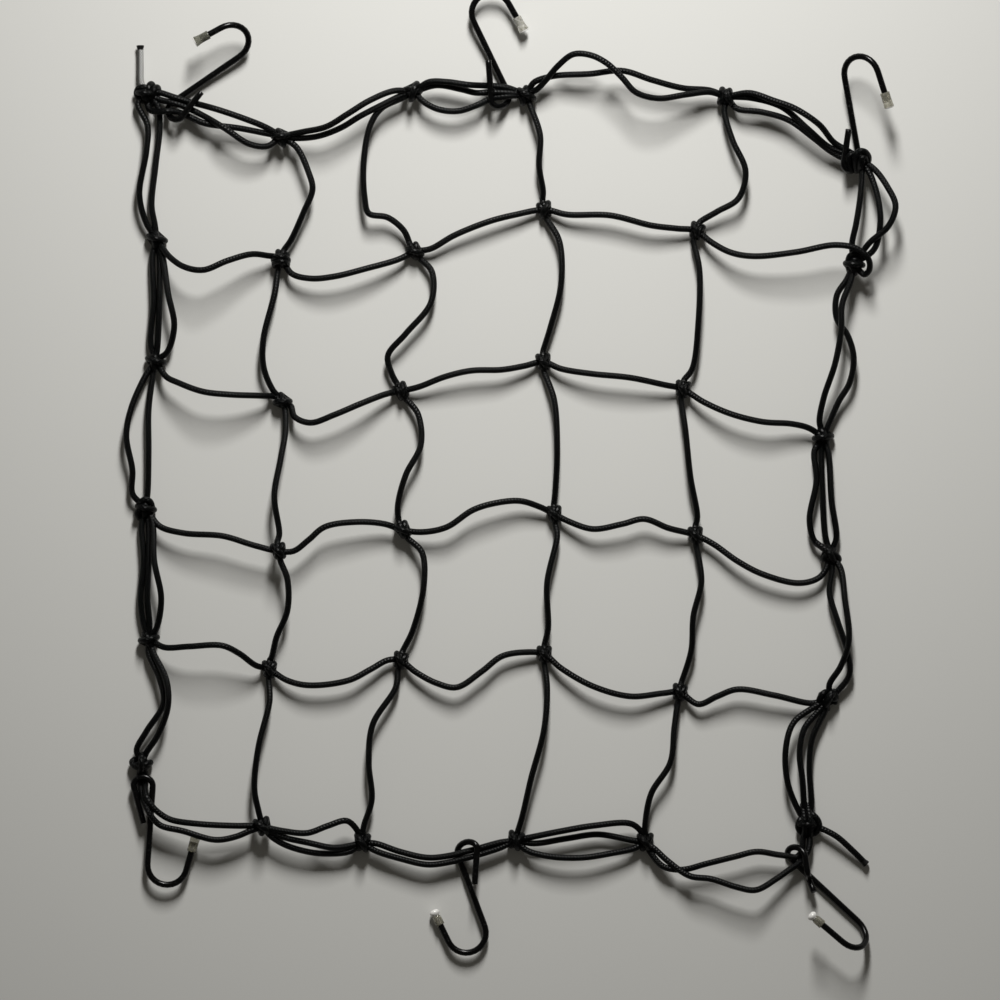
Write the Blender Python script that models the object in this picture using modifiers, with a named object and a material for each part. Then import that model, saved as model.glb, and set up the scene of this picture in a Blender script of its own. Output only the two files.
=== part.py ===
"""An elastic cargo net with six wire hooks, lying loose on a flat surface.

The net is knotted from round elastic cord: a mesh of five by five openings
inside a border of doubled and tripled cord, 36 knots in all. Six coated wire
hooks ride on the border cords, each with a soft cap on its tip, and two cut
cord ends stand out at opposite corners.

Places in plan are given on a drawing grid whose squares are GRID metres wide,
with x to the right and y down. Heights above the surface are in millimetres.
"""

import math
from dataclasses import dataclass

import bmesh
import bpy
from mathutils import Matrix, Vector
from mathutils.bvhtree import BVHTree

MM = 0.001
GRID = 0.56 * MM
GRID_CENTRE = (510.0, 471.0)

# Cord and knots.
CORD_RADIUS = 1.75 * MM
KNOT_RADIUS = 4.7 * MM
KNOT_SIDES = 8
MESH_KNOT_SIZE = 0.92
EDGE_KNOT_SIZE = 1.06
ENTRY = 2.4 * MM
REST_HEIGHT = 3.9
# The outline of a knot, from one end to the other: (along the axis, radius) in
# knot radii. Its three crests are the turns of cord.
KNOT_OUTLINE = ((-0.66, 0.90), (-0.33, 0.84), (0.0, 1.0), (0.33, 0.84), (0.66, 0.90))
KNOT_END = 1.02

# Hooks, all bent from the same wire to the same form.
WIRE_RADIUS = 1.7 * MM
EYE_DEPTH = 5.0
BEND_RADIUS = 11.0
CAP_BORE = 2.2
CAP_LENGTH = 9.0
# The outline of a tip cap: (along the wire, radius) in millimetres, from the rim
# of its bore, over the outside, to the middle of its closed end.
CAP_OUTLINE = ((0.0, 2.65), (5.2, 2.75), (6.2, 2.4), (7.2, 2.8), (8.5, 2.4), (9.0, 0.0))
CAP_BORE_DEPTH = 5.6
CAP_END_GAP = 0.4
CAP_SIDES = 8
# How many steps the wire's leg, eye and bend are drawn in.
LEG_STEPS = 3
EYE_STEPS = 6
BEND_STEPS = 8

GAP = 0.3 * MM
# A rounded cord end: the parts of the radius halfway along its nose and at its tip.
NOSE_SHARES = (0.75, 0.35)
ROUTE_STEPS = 30
CHORD_TOLERANCE = 0.75 * MM
WELD = 0.00001
SHARP_ANGLE = math.radians(50)

CORD_COLOUR = (0.012, 0.012, 0.014, 1.0)
WIRE_COLOUR = (0.006, 0.006, 0.007, 1.0)
CAP_COLOUR = (0.72, 0.70, 0.64, 1.0)


@dataclass(frozen=True)
class Knot:
    """A knot: its place in plan, its height (mm) and the turn of its axis (degrees)."""

    x: float
    y: float
    height: float
    turn: float


@dataclass(frozen=True)
class Strand:
    """A run of cord between two knots.

    lift is how far (mm) its middle arches above the line between the knots. A point
    of via is (x, y), or (x, y, height) where the cord's height is fixed.
    """

    start: str
    end: str
    lift: float
    via: tuple


@dataclass(frozen=True)
class Hook:
    """A hook: where the shaft meets the eye in plan, its height (mm), and its set.

    heading is the shaft's direction in degrees, from the eye to the bend. side is 1
    where the tip lies to the left of the shaft, and -1 to the right. pitch raises
    the bend, roll raises the tip, and lean turns the arm outward, in degrees.
    eye_width and leg_end are across the shaft, and leg_rise is how far the short
    leg stands above it. leg, shaft and arm are the straight lengths, the arm's from
    the bend to the cap. All of these are in mm. eye_turn swings the leg's side of
    the eye round the shaft's end, in degrees.
    """

    x: float
    y: float
    height: float
    heading: float
    side: int
    pitch: float
    roll: float
    lean: float
    eye_width: float
    eye_turn: float
    leg_rise: float
    leg_end: float
    leg: float
    shaft: float
    arm: float


# Columns A to F run from left to right, and rows 1 to 6 from top to bottom.
KNOTS = {
    "A1": Knot(146, 94, REST_HEIGHT, 35),
    "B1": Knot(282, 137, 8.0, -15),
    "C1": Knot(414, 92, 8.0, 15),
    "D1": Knot(526, 95, 5.5, 0),
    "E1": Knot(726, 97, 6.5, 10),
    "F1": Knot(861, 160, 10.0, -50),
    "A2": Knot(157, 239, REST_HEIGHT, 90),
    "B2": Knot(281, 259, REST_HEIGHT, 85),
    "C2": Knot(415, 252, REST_HEIGHT, 50),
    "D2": Knot(545, 210, REST_HEIGHT, 65),
    "E2": Knot(696, 231, 5.0, 40),
    "F2": Knot(853, 265, 11.0, 100),
    "A3": Knot(156, 361, REST_HEIGHT, 80),
    "B3": Knot(283, 402, REST_HEIGHT, 40),
    "C3": Knot(402, 391, REST_HEIGHT, 60),
    "D3": Knot(543, 362, REST_HEIGHT, 75),
    "E3": Knot(682, 389, 5.0, 60),
    "F3": Knot(823, 437, REST_HEIGHT, 70),
    "A4": Knot(146, 508, REST_HEIGHT, 80),
    "B4": Knot(279, 551, 13.0, 60),
    "C4": Knot(403, 530, 6.0, 60),
    "D4": Knot(554, 514, REST_HEIGHT, 45),
    "E4": Knot(695, 535, 5.0, 30),
    "F4": Knot(830, 554, REST_HEIGHT, 70),
    "A5": Knot(149, 639, REST_HEIGHT, 90),
    "B5": Knot(269, 669, REST_HEIGHT, 60),
    "C5": Knot(400, 660, REST_HEIGHT, 65),
    "D5": Knot(544, 654, REST_HEIGHT, 85),
    "E5": Knot(679, 692, REST_HEIGHT, 60),
    "F5": Knot(829, 698, REST_HEIGHT, 60),
    "A6": Knot(142, 763, REST_HEIGHT, 90),
    "B6": Knot(263, 826, 9.0, 0),
    "C6": Knot(362, 842, 6.0, -10),
    "D6": Knot(515, 840, 5.5, 5),
    "E6": Knot(645, 842, REST_HEIGHT, -20),
    "F6": Knot(807, 824, REST_HEIGHT, 80),
}
EDGE_COLUMNS = "AF"
EDGE_ROWS = "16"

MESH_STRANDS = (
    # Rows, from left to right.
    Strand("A2", "B2", 17, ((170, 257), (186, 268), (205, 271), (228, 262), (252, 255), (267, 256))),
    Strand("B2", "C2", 8, ((292, 274), (311, 279), (335, 277), (367, 269), (398, 260))),
    Strand("C2", "D2", 4, ((431, 249), (454, 236), (489, 222), (516, 215))),
    Strand("D2", "E2", 5, ((567, 215), (610, 216), (651, 226), (677, 229))),
    Strand("E2", "F2", 9, ((710, 242), (730, 253), (753, 257), (795, 253), (834, 246, 18),
                           (856, 250, 18.5), (867, 260, 18), (868, 271, 15), (863, 275, 12.5))),
    Strand("A3", "B3", 13, ((167, 377), (179, 383), (204, 392), (231, 395), (262, 396))),
    Strand("B3", "C3", 10, ((295, 417), (311, 423), (335, 415), (361, 404), (387, 394))),
    Strand("C3", "D3", 6, ((419, 387), (445, 377), (471, 371), (502, 370), (525, 366))),
    Strand("D3", "E3", 6, ((561, 369), (591, 374), (630, 378), (664, 385))),
    Strand("E3", "F3", 7, ((703, 402), (730, 414), (762, 422), (791, 424), (808, 428))),
    Strand("A4", "B4", 5, ((160, 526), (184, 533), (224, 536), (254, 545))),
    Strand("B4", "C4", 3, ((294, 551), (309, 540), (325, 527), (356, 522), (385, 524))),
    Strand("C4", "D4", 6, ((423, 532), (447, 527), (473, 510), (496, 503), (520, 501), (540, 507))),
    Strand("D4", "E4", 5.5, ((570, 522), (593, 529), (622, 524), (644, 519), (668, 528))),
    Strand("E4", "F4", 4, ((713, 544), (737, 561), (762, 574), (798, 583), (818, 578), (826, 568))),
    Strand("A5", "B5", 14, ((165, 647), (190, 646), (223, 645), (240, 653), (256, 665))),
    Strand("B5", "C5", 5, ((287, 680), (309, 685), (349, 680), (371, 669), (388, 660))),
    Strand("C5", "D5", 4.5, ((416, 672), (437, 683), (457, 687), (482, 671), (502, 656), (527, 652))),
    Strand("D5", "E5", 5, ((561, 668), (593, 686), (630, 696), (663, 693))),
    Strand("E5", "F5", 5, ((698, 704), (717, 696), (737, 689), (774, 695), (812, 703))),
    # Columns, from top to bottom.
    Strand("B1", "B2", 5, ((297, 148), (309, 173), (313, 190), (304, 213), (291, 241))),
    Strand("C1", "C2", 5, ((402, 99), (382, 109), (371, 125), (364, 163), (365, 199), (369, 214),
                           (388, 218), (404, 231))),
    Strand("D1", "D2", 5, ((532, 111), (540, 136), (539, 167), (543, 192))),
    Strand("E1", "E2", 5, ((724, 113), (732, 141), (745, 172), (738, 199), (717, 212))),
    Strand("B2", "B3", 6, ((275, 294), (264, 339), (264, 367), (273, 390))),
    Strand("C2", "C3", 5, ((432, 272), (431, 303), (406, 334), (388, 356), (392, 374))),
    Strand("D2", "D3", 5, ((559, 241), (561, 284), (550, 329))),
    Strand("E2", "E3", 5, ((699, 270), (698, 322), (692, 369))),
    Strand("B3", "B4", 5, ((286, 428), (281, 460), (275, 496), (280, 534))),
    Strand("C3", "C4", 5, ((418, 414), (421, 445), (406, 475), (398, 506))),
    Strand("D3", "D4", 6, ((554, 400), (557, 449), (555, 494))),
    Strand("E3", "E4", 5, ((685, 430), (690, 477), (697, 517))),
    Strand("B4", "B5", 4, ((288, 579), (288, 610), (277, 637), (272, 657))),
    Strand("C4", "C5", 5, ((422, 552), (424, 585), (413, 630))),
    Strand("D4", "D5", 6, ((557, 536), (547, 583), (548, 628))),
    Strand("E4", "E5", 5, ((701, 581), (693, 616), (691, 650))),
    Strand("B5", "B6", 6, ((270, 700), (259, 747), (255, 788), (259, 810))),
    Strand("C5", "C6", 5, ((396, 687), (373, 724), (369, 762), (372, 799), (364, 826))),
    Strand("D5", "D6", 6, ((547, 688), (544, 729), (531, 778), (522, 817))),
    Strand("E5", "E6", 5, ((674, 728), (670, 762), (651, 793), (645, 824))),
)

BORDER_STRANDS = (
    # Top, from left to right.
    Strand("A1", "B1", 8, ((159, 93, 5.4), (175, 98, 7.4), (190, 102.5, 7.4), (216, 110), (243, 119),
                           (266, 128))),
    Strand("A1", "B1", 3, ((150, 110, 6), (159, 112.5, 9), (168, 112, 11), (177, 112.5, 9.4),
                           (189, 117, 7.2), (205, 124), (240, 129), (266, 134))),
    Strand("A1", "B1", 9, ((160, 100, 5), (175, 104, 6.9), (188, 108.5, 7), (205, 117, 8.5),
                           (225, 129, 14), (250, 145), (268, 147))),
    Strand("B1", "C1", 10, ((303, 133), (327, 128), (349, 115), (370, 102), (394, 92))),
    Strand("B1", "C1", 5, ((298, 139), (319, 137), (341, 129), (361, 117), (386, 104), (400, 97))),
    Strand("C1", "D1", 6, ((429, 83), (447, 83), (469, 86), (490, 86.5, 7.6), (506, 88, 7.2))),
    Strand("C1", "D1", 1, ((437, 86), (461, 90), (476, 93.5), (490, 93, 7.8), (507, 93.5, 8))),
    Strand("C1", "D1", 3, ((423, 102), (438, 110), (458, 112), (477, 106), (491, 99.5, 7),
                           (505, 97.3, 7.9))),
    Strand("D1", "E1", 15, ((537, 90), (545, 82), (558, 67), (573, 56), (590, 57), (606, 65),
                            (621, 79), (635, 94), (657, 100), (685, 96), (709, 93))),
    Strand("D1", "E1", 7, ((534, 83), (553, 77), (590, 75), (622, 72), (651, 81), (682, 89),
                           (709, 91))),
    Strand("E1", "F1", 9, ((749, 94), (773, 102), (794, 110), (818, 126), (833, 143, 10),
                           (846, 151, 9.4))),
    Strand("E1", "F1", 4, ((752, 99), (781, 108), (807, 130), (828, 147.5, 9.2), (846, 155, 8.8))),
    Strand("E1", "F1", 2, ((736, 109), (762, 113), (788, 121), (813, 139), (830, 152, 8.6),
                           (846, 160, 8.4))),
    # Right, from top to bottom.
    Strand("F1", "F2", 3, ((861, 178), (859, 200), (855, 225), (851, 245))),
    Strand("F1", "F2", 5, ((870, 177), (877, 201), (879, 224), (873, 250))),
    Strand("F1", "F2", 8, ((875, 172), (886, 188), (894, 207), (887, 227), (868, 244))),
    Strand("F2", "F3", 2, ((846, 280), (836, 296), (836, 319), (847, 336), (853, 358), (849, 383),
                           (838, 402), (829, 423))),
    Strand("F2", "F3", 8, ((850, 281), (841, 305), (840, 330), (834, 364), (823, 398), (819, 422))),
    Strand("F3", "F4", 4, ((814, 451), (816, 480), (809, 520), (814, 541), (821, 547))),
    Strand("F3", "F4", 1, ((821, 451), (822, 490), (825, 536))),
    Strand("F3", "F4", 3, ((828, 453), (831, 500), (836, 538))),
    Strand("F4", "F5", 4, ((832, 568), (829, 592), (837, 621), (847, 652), (849, 674), (839, 689))),
    Strand("F4", "F5", 8, ((840, 568), (844, 598), (848, 640), (840, 666), (829, 684))),
    Strand("F5", "F6", 8, ((815, 706), (793, 722), (785, 748), (787, 782), (799, 812))),
    Strand("F5", "F6", 5, ((818, 711), (804, 728), (799, 752), (802, 780), (804, 808))),
    Strand("F5", "F6", 2, ((824, 712), (812, 738), (809, 766), (811, 806))),
    # Left, from top to bottom.
    Strand("A1", "A2", 5, ((138, 104), (148, 126), (147, 152), (140, 195), (147, 224))),
    Strand("A1", "A2", 2, ((158, 106), (160, 128), (156, 166), (152, 206), (155, 224))),
    Strand("A2", "A3", 2, ((153, 255), (154, 301), (151, 345))),
    Strand("A2", "A3", 3, ((160, 255), (160, 301), (158, 345))),
    Strand("A2", "A3", 8, ((163, 256), (169, 294), (175, 326), (168, 352))),
    Strand("A3", "A4", 5, ((147, 374), (132, 408), (127, 436), (133, 470), (133, 494))),
    Strand("A3", "A4", 2, ((153, 377), (149, 410), (149, 451), (148, 492))),
    Strand("A4", "A5", 2, ((142, 524), (144, 560), (141, 600), (144, 624))),
    Strand("A4", "A5", 3, ((149, 524), (149, 565), (148, 600), (150, 624))),
    Strand("A4", "A5", 8, ((153, 522), (155, 560), (162, 598), (157, 628))),
    Strand("A5", "A6", 4, ((149, 653), (160, 678), (164, 703), (147, 731), (137, 750))),
    Strand("A5", "A6", 9, ((154, 653), (167, 679), (169, 705), (159, 734), (147, 752))),
    # Bottom, from left to right.
    Strand("A6", "B6", 7, ((146, 776.5, 1.95), (145.8, 783, 2.9), (145.6, 790, 6.2),
                           (147.8, 797.5, 10.2), (153.5, 806, 11.2), (161, 813, 11),
                           (172, 819, 11), (200, 823), (238, 825), (250, 825))),
    Strand("A6", "B6", 5, ((139.6, 777, 1.95), (140.4, 784, 2.2), (141.8, 791, 4.2),
                           (144.3, 799, 7.6), (149, 810, 10.9), (154, 818, 11.2),
                           (162, 825, 10.8), (183, 830), (216, 839), (236, 836), (251, 830))),
    Strand("B6", "C6", 6, ((283, 830), (308, 832), (328, 825), (347, 820), (357, 829))),
    Strand("B6", "C6", 3, ((283, 836), (309, 842), (334, 847), (351, 845))),
    Strand("B6", "C6", 0, ((272, 836), (285, 844), (303, 850), (323, 853), (350, 851))),
    Strand("C6", "D6", 3, ((376, 843), (400, 851), (428, 857), (450, 855, 7.2), (462, 852, 7.2),
                           (476, 848.5, 7), (500, 842))),
    Strand("C6", "D6", 2, ((375, 850), (400, 858), (428, 864), (450, 861.5, 7), (462, 858.5, 7),
                           (476, 855, 7), (501, 847))),
    Strand("D6", "E6", 6, ((534, 836), (558, 831), (593, 825), (630, 823), (640, 830))),
    Strand("D6", "E6", 1, ((534, 843), (567, 838), (598, 834), (632, 840))),
    Strand("D6", "E6", 4, ((527, 850), (551, 856), (582, 857), (610, 853), (634, 848))),
    Strand("E6", "F6", 6, ((651, 853), (663, 866), (682, 869), (706, 863), (734, 856), (756, 851),
                           (777, 854), (788, 855.5, 7.8), (796, 856.5, 7.1), (801.5, 850, 5.8),
                           (802.5, 838, 4.8))),
    Strand("E6", "F6", 9, ((655, 849), (667, 860), (689, 875), (711, 878), (736, 886), (755, 889),
                           (776, 878, 9), (789, 869, 7.4), (799.5, 861.5, 7.4), (807.5, 851, 6.6),
                           (809.5, 839, 4.8))),
)

# The two cut ends: the knot each leaves, and its course outward.
CUT_ENDS = {
    "cut_end_1": ("A1", ((141.5, 82, 4.6), (141, 65, 4.2), (140.5, 46, 3.2))),
    "cut_end_2": ("F6", ((818, 827, 4.4), (836, 836, 5.4), (852, 850, 4.4), (866, 864, 2.6))),
}

HOOKS = {
    "hook_1": Hook(172.3, 103, 2.3, 34.3, 1, 4, 34, 7, 10.4, 0, 9.6, -4.9, 17.6, 46.0, 8.0),
    "hook_2": Hook(507.9, 93, 2.5, 115.8, -1, 6, 0, 4, 10.8, 0, 9.6, -2.2, 21.6, 44.3, 9.0),
    "hook_3": Hook(858.8, 159, 2.9, 100.6, -1, 11, 34, 9, 9.6, 0, 10.4, -3.4, 19.0, 46.9, 12.6),
    "hook_4": Hook(153.2, 786, 6.4, -93.8, 1, 0, 0, 12, 10.8, 0, -0.6, -3.8, 20.8, 43.4, 11.0),
    "hook_5": Hook(458, 854.5, 2.2, -69.5, -1, 3, 0, 5.5, 11.7, 0, 9.6, -3.2, 18.8, 42.7, 10.4),
    "hook_6": Hook(790, 857.8, 2.1, -43, -1, 0, 50, 4, 8.2, 45, 9.8, 7.3, 16.4, 51.6, 14.9),
}


def clear_scene():
    """Remove every object of the open file."""
    for item in list(bpy.data.objects):
        bpy.data.objects.remove(item, do_unlink=True)


def collection(name):
    """A new collection under the scene's own."""
    made = bpy.data.collections.new(name)
    bpy.context.scene.collection.children.link(made)
    return made


def material(name, colour, roughness, metallic=0.0):
    """A plain Principled material."""
    made = bpy.data.materials.new(name)
    made.use_nodes = True
    shader = made.node_tree.nodes["Principled BSDF"]
    shader.inputs["Base Color"].default_value = colour
    shader.inputs["Roughness"].default_value = roughness
    shader.inputs["Metallic"].default_value = metallic
    return made


def place(x, y, height):
    """A grid point and its height in mm as a point in metres."""
    return Vector(((x - GRID_CENTRE[0]) * GRID, (GRID_CENTRE[1] - y) * GRID, height * MM))


def smooth_route(points, steps=ROUTE_STEPS):
    """A centripetal Catmull-Rom curve through points, in short straight steps."""
    ends = [2 * points[0] - points[1], *points, 2 * points[-1] - points[-2]]
    route = [points[0].copy()]
    for p0, p1, p2, p3 in zip(ends, ends[1:], ends[2:], ends[3:]):
        t1 = math.sqrt((p1 - p0).length)
        t2 = t1 + math.sqrt((p2 - p1).length)
        t3 = t2 + math.sqrt((p3 - p2).length)
        for step in range(1, steps + 1):
            t = t1 + (t2 - t1) * step / steps
            a1 = p0.lerp(p1, t / t1)
            a2 = p1.lerp(p2, (t - t1) / (t2 - t1))
            a3 = p2.lerp(p3, (t - t2) / (t3 - t2))
            b1 = a1.lerp(a2, t / t2)
            b2 = a2.lerp(a3, (t - t1) / (t3 - t1))
            route.append(b1.lerp(b2, (t - t1) / (t2 - t1)))
    return route


def thin(route, tolerance=CHORD_TOLERANCE):
    """The fewest of a route's points that stay within tolerance of it."""
    first, last = route[0], route[-1]
    chord = (last - first).normalized()
    away = [((p - first) - (p - first).dot(chord) * chord).length for p in route]
    worst = max(range(len(route)), key=away.__getitem__)
    if away[worst] <= tolerance or len(route) < 3:
        return [first, last]
    return thin(route[:worst + 1], tolerance)[:-1] + thin(route[worst:], tolerance)


def strand_route(strand):
    """The middle line of a strand, from inside one knot to inside the other."""
    start = place(KNOTS[strand.start].x, KNOTS[strand.start].y, KNOTS[strand.start].height)
    end = place(KNOTS[strand.end].x, KNOTS[strand.end].y, KNOTS[strand.end].height)
    flat = [start] + [place(point[0], point[1], 0) for point in strand.via] + [end]
    lengths = [(b - a).xy.length for a, b in zip(flat, flat[1:])]
    total = sum(lengths)
    run = 0.0
    points = []
    for via, point, length in zip(strand.via, flat[1:], lengths):
        run += length
        share = run / total
        arch = strand.lift * MM * math.sin(math.pi * share)
        height = start.z + (end.z - start.z) * share + arch
        points.append(Vector((point.x, point.y, via[2] * MM if len(via) == 3 else height)))
    inside_start = start + (points[0] - start).normalized() * ENTRY
    inside_end = end + (points[-1] - end).normalized() * ENTRY
    return smooth_route([inside_start, *points, inside_end])


def mesh_object(name, mesh, matrix=None):
    """An object for a mesh, placed by a matrix."""
    made = bpy.data.objects.new(name, mesh)
    bpy.context.scene.collection.objects.link(made)
    if matrix is not None:
        made.matrix_world = matrix
    return made


def evaluated_mesh(source, weld=True):
    """The mesh of a curve or of an object with modifiers; the object is removed."""
    bpy.context.view_layer.update()
    graph = bpy.context.evaluated_depsgraph_get()
    mesh = bpy.data.meshes.new_from_object(source.evaluated_get(graph))
    matrix = source.matrix_world.copy()
    name = source.name
    bpy.data.objects.remove(source, do_unlink=True)
    if weld:
        form = bmesh.new()
        form.from_mesh(mesh)
        bmesh.ops.remove_doubles(form, verts=form.verts, dist=WELD)
        bmesh.ops.recalc_face_normals(form, faces=form.faces)
        form.to_mesh(mesh)
        form.free()
    return mesh_object(name, mesh, matrix)


def tube(name, route, radius, resolution, shares=None):
    """A round rod along a route. shares gives each point's part of the radius."""
    curve = bpy.data.curves.new(name, "CURVE")
    curve.dimensions = "3D"
    curve.bevel_depth = radius
    curve.bevel_resolution = resolution
    curve.use_fill_caps = True
    spline = curve.splines.new("POLY")
    spline.points.add(len(route) - 1)
    for index, point in enumerate(route):
        spline.points[index].co = (*point, 1.0)
        spline.points[index].radius = shares[index] if shares else 1.0
    made = bpy.data.objects.new(name, curve)
    bpy.context.scene.collection.objects.link(made)
    return evaluated_mesh(made)


def turned(name, outline, sides):
    """A solid turned about Z from an outline of (radius, z), top to bottom."""
    profile = bpy.data.meshes.new(name)
    vertices = [(radius, 0.0, z) for radius, z in outline]
    edges = [(index, index + 1) for index in range(len(outline) - 1)]
    profile.from_pydata(vertices, edges, [])
    made = mesh_object(name, profile)
    screw = made.modifiers.new("turn", "SCREW")
    screw.axis = "Z"
    screw.steps = sides
    screw.render_steps = sides
    screw.use_merge_vertices = True
    screw.merge_threshold = WELD
    return evaluated_mesh(made)


def cut_flat(item):
    """Cut a solid off level with the surface it rests on."""
    form = bmesh.new()
    form.from_mesh(item.data)
    form.transform(item.matrix_world)
    whole = [*form.verts, *form.edges, *form.faces]
    cut = bmesh.ops.bisect_plane(
        form, geom=whole, plane_co=(0, 0, 0), plane_no=(0, 0, -1), clear_outer=True
    )
    rim = [part for part in cut["geom_cut"] if isinstance(part, bmesh.types.BMEdge)]
    if rim:
        bmesh.ops.contextual_create(form, geom=rim)
    bmesh.ops.recalc_face_normals(form, faces=form.faces)
    form.to_mesh(item.data)
    form.free()
    item.matrix_world = Matrix.Identity(4)


def on_edge(name):
    """Whether a knot is one of the border's."""
    return name[0] in EDGE_COLUMNS or name[1] in EDGE_ROWS


def make_knot(name):
    """The ridged solid of one knot, its axis level, flat where it rests."""
    knot = KNOTS[name]
    radius = KNOT_RADIUS * (EDGE_KNOT_SIZE if on_edge(name) else MESH_KNOT_SIZE)
    outline = [(share * radius, -along * radius) for along, share in KNOT_OUTLINE]
    ended = [(0.0, KNOT_END * radius), *outline, (0.0, -KNOT_END * radius)]
    made = turned(f"knot_{name}", ended, KNOT_SIDES)
    lay_down = Matrix.Rotation(math.radians(90), 4, "Y")
    turn = Matrix.Rotation(math.radians(knot.turn), 4, "Z")
    made.matrix_world = Matrix.Translation(place(knot.x, knot.y, knot.height)) @ turn @ lay_down
    bpy.context.view_layer.update()
    cut_flat(made)
    return made


def fuse(name, solids):
    """One solid, the union of many."""
    others = bpy.data.collections.new(f"{name}_pieces")
    bpy.context.scene.collection.children.link(others)
    base = solids[0]
    for item in solids[1:]:
        bpy.context.scene.collection.objects.unlink(item)
        others.objects.link(item)
    union = base.modifiers.new("fuse", "BOOLEAN")
    union.operation = "UNION"
    union.solver = "EXACT"
    union.operand_type = "COLLECTION"
    union.collection = others
    base.name = name
    made = evaluated_mesh(base, weld=False)
    for item in list(others.objects):
        bpy.data.objects.remove(item, do_unlink=True)
    bpy.data.collections.remove(others)
    return made


def finish(item, home, finish_material):
    """Put an object in its collection with its material and smooth shading."""
    for held in list(item.users_collection):
        held.objects.unlink(item)
    home.objects.link(item)
    item.data.materials.clear()
    item.data.materials.append(finish_material)
    item.data.shade_smooth()
    item.data.set_sharp_from_angle(angle=SHARP_ANGLE)


def make_border():
    """The border cords, fused at the twenty edge knots."""
    knots = [make_knot(name) for name in KNOTS if on_edge(name)]
    cords = [
        tube(f"border_{index}", thin(strand_route(strand)), CORD_RADIUS, 1)
        for index, strand in enumerate(BORDER_STRANDS)
    ]
    return fuse("border_cords", knots + cords)


def clear_points(route, tree, share):
    """How many points of a route, from its start, keep a cord of this part of the
    full radius clear of the solid of a search tree."""
    for index, point in enumerate(route):
        if tree.find_nearest(point)[3] < share * CORD_RADIUS + GAP:
            return index
    return len(route)


def nosed(route, tree):
    """A cord's points and shares of its radius, where it ends in a rounded nose
    just off the solid of a search tree."""
    full = clear_points(route, tree, 1.0)
    tip = max(full + 2, clear_points(route, tree, NOSE_SHARES[1]))
    body = thin(route[:full])
    line = [*body, route[(full + tip - 1) // 2], route[tip - 1]]
    return line, [1.0] * len(body) + list(NOSE_SHARES)


def make_mesh(border):
    """The inner cords, fused at the sixteen inner knots, ending at the border's knots."""
    tree = BVHTree.FromObject(border, bpy.context.evaluated_depsgraph_get())
    cords = []
    for index, strand in enumerate(MESH_STRANDS):
        route = strand_route(strand)
        line, shares = thin(route), None
        if on_edge(strand.start):
            line, shares = nosed(route[::-1], tree)
        elif on_edge(strand.end):
            line, shares = nosed(route, tree)
        cords.append(tube(f"mesh_{index}", line, CORD_RADIUS, 1, shares))
    knots = [make_knot(name) for name in KNOTS if not on_edge(name)]
    return fuse("mesh_cords", knots + cords)


def make_cut_end(name, border):
    """A free cord end, its root rounded off beside its knot."""
    knot_name, via = CUT_ENDS[name]
    knot = KNOTS[knot_name]
    route = smooth_route([place(knot.x, knot.y, knot.height)] + [place(*point) for point in via])
    tree = BVHTree.FromObject(border, bpy.context.evaluated_depsgraph_get())
    line, shares = nosed(route[::-1], tree)
    return tube(name, line, CORD_RADIUS, 1, shares)


def hook_route(hook, past_joint):
    """The middle line of a hook's wire, from the short leg's end to the arm's end.

    past_joint is how far (mm) the arm runs on past the mouth of its cap. The line is
    drawn in mm, across the shaft, along it and above it, and then set in its place.
    """
    half = hook.eye_width / 2
    eye = []
    for step in range(EYE_STEPS + 1):
        angle = math.pi * step / EYE_STEPS
        share = (1 + math.cos(angle)) / 2
        swing = Matrix.Rotation(-math.radians(hook.eye_turn) * share, 2)
        loop = Vector((-half - half * math.cos(angle), -EYE_DEPTH * math.sin(angle)))
        eye.append((*(swing @ loop), hook.leg_rise * share))
    leg_end = Vector((hook.leg_end, eye[0][1] + hook.leg, hook.leg_rise))
    line = [leg_end.lerp(Vector(eye[0]), step / LEG_STEPS) for step in range(LEG_STEPS)]
    line.extend(eye)
    lean = math.radians(hook.lean)
    for step in range(BEND_STEPS + 1):
        angle = (math.pi - lean) * step / BEND_STEPS
        across = BEND_RADIUS * (1 - math.cos(angle))
        line.append((across, hook.shaft + BEND_RADIUS * math.sin(angle), 0.0))
    arm = hook.arm + past_joint
    across, along, above = line[-1]
    line.append((across + arm * math.sin(lean), along - arm * math.cos(lean), above))
    roll = math.radians(hook.roll)
    placed = []
    for across, along, above in line:
        if across > 0:
            above = across * math.sin(roll)
            across = across * math.cos(roll)
        placed.append(Vector((along, hook.side * across, above)) * MM)
    heading = Matrix.Rotation(math.radians(hook.heading), 4, "Z")
    pitch = Matrix.Rotation(-math.radians(hook.pitch), 4, "Y")
    set_down = Matrix.Translation(place(hook.x, hook.y, hook.height)) @ heading @ pitch
    return [set_down @ point for point in placed]


def make_hook(name):
    """The bent wire of one hook, its tip inside the bore of its cap."""
    route = hook_route(HOOKS[name], CAP_BORE_DEPTH - CAP_END_GAP)
    return tube(name, route, WIRE_RADIUS, 2)


def make_cap(name, hook_name):
    """The soft cap on a hook's tip, a closed sleeve over the end of the wire."""
    inside = [(0.0, CAP_BORE_DEPTH), (CAP_BORE, CAP_BORE_DEPTH), (CAP_BORE, 0.0)]
    outside = [(radius, along) for along, radius in CAP_OUTLINE]
    outline = [(radius * MM, along * MM) for radius, along in (inside + outside)]
    made = turned(name, outline[::-1], CAP_SIDES)
    route = hook_route(HOOKS[hook_name], CAP_LENGTH)
    tip, before = route[-1], route[-2]
    outward = (tip - before).normalized()
    made.matrix_world = (
        Matrix.Translation(tip - outward * CAP_LENGTH * MM)
        @ outward.to_track_quat("Z", "Y").to_matrix().to_4x4()
    )
    return made


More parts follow.
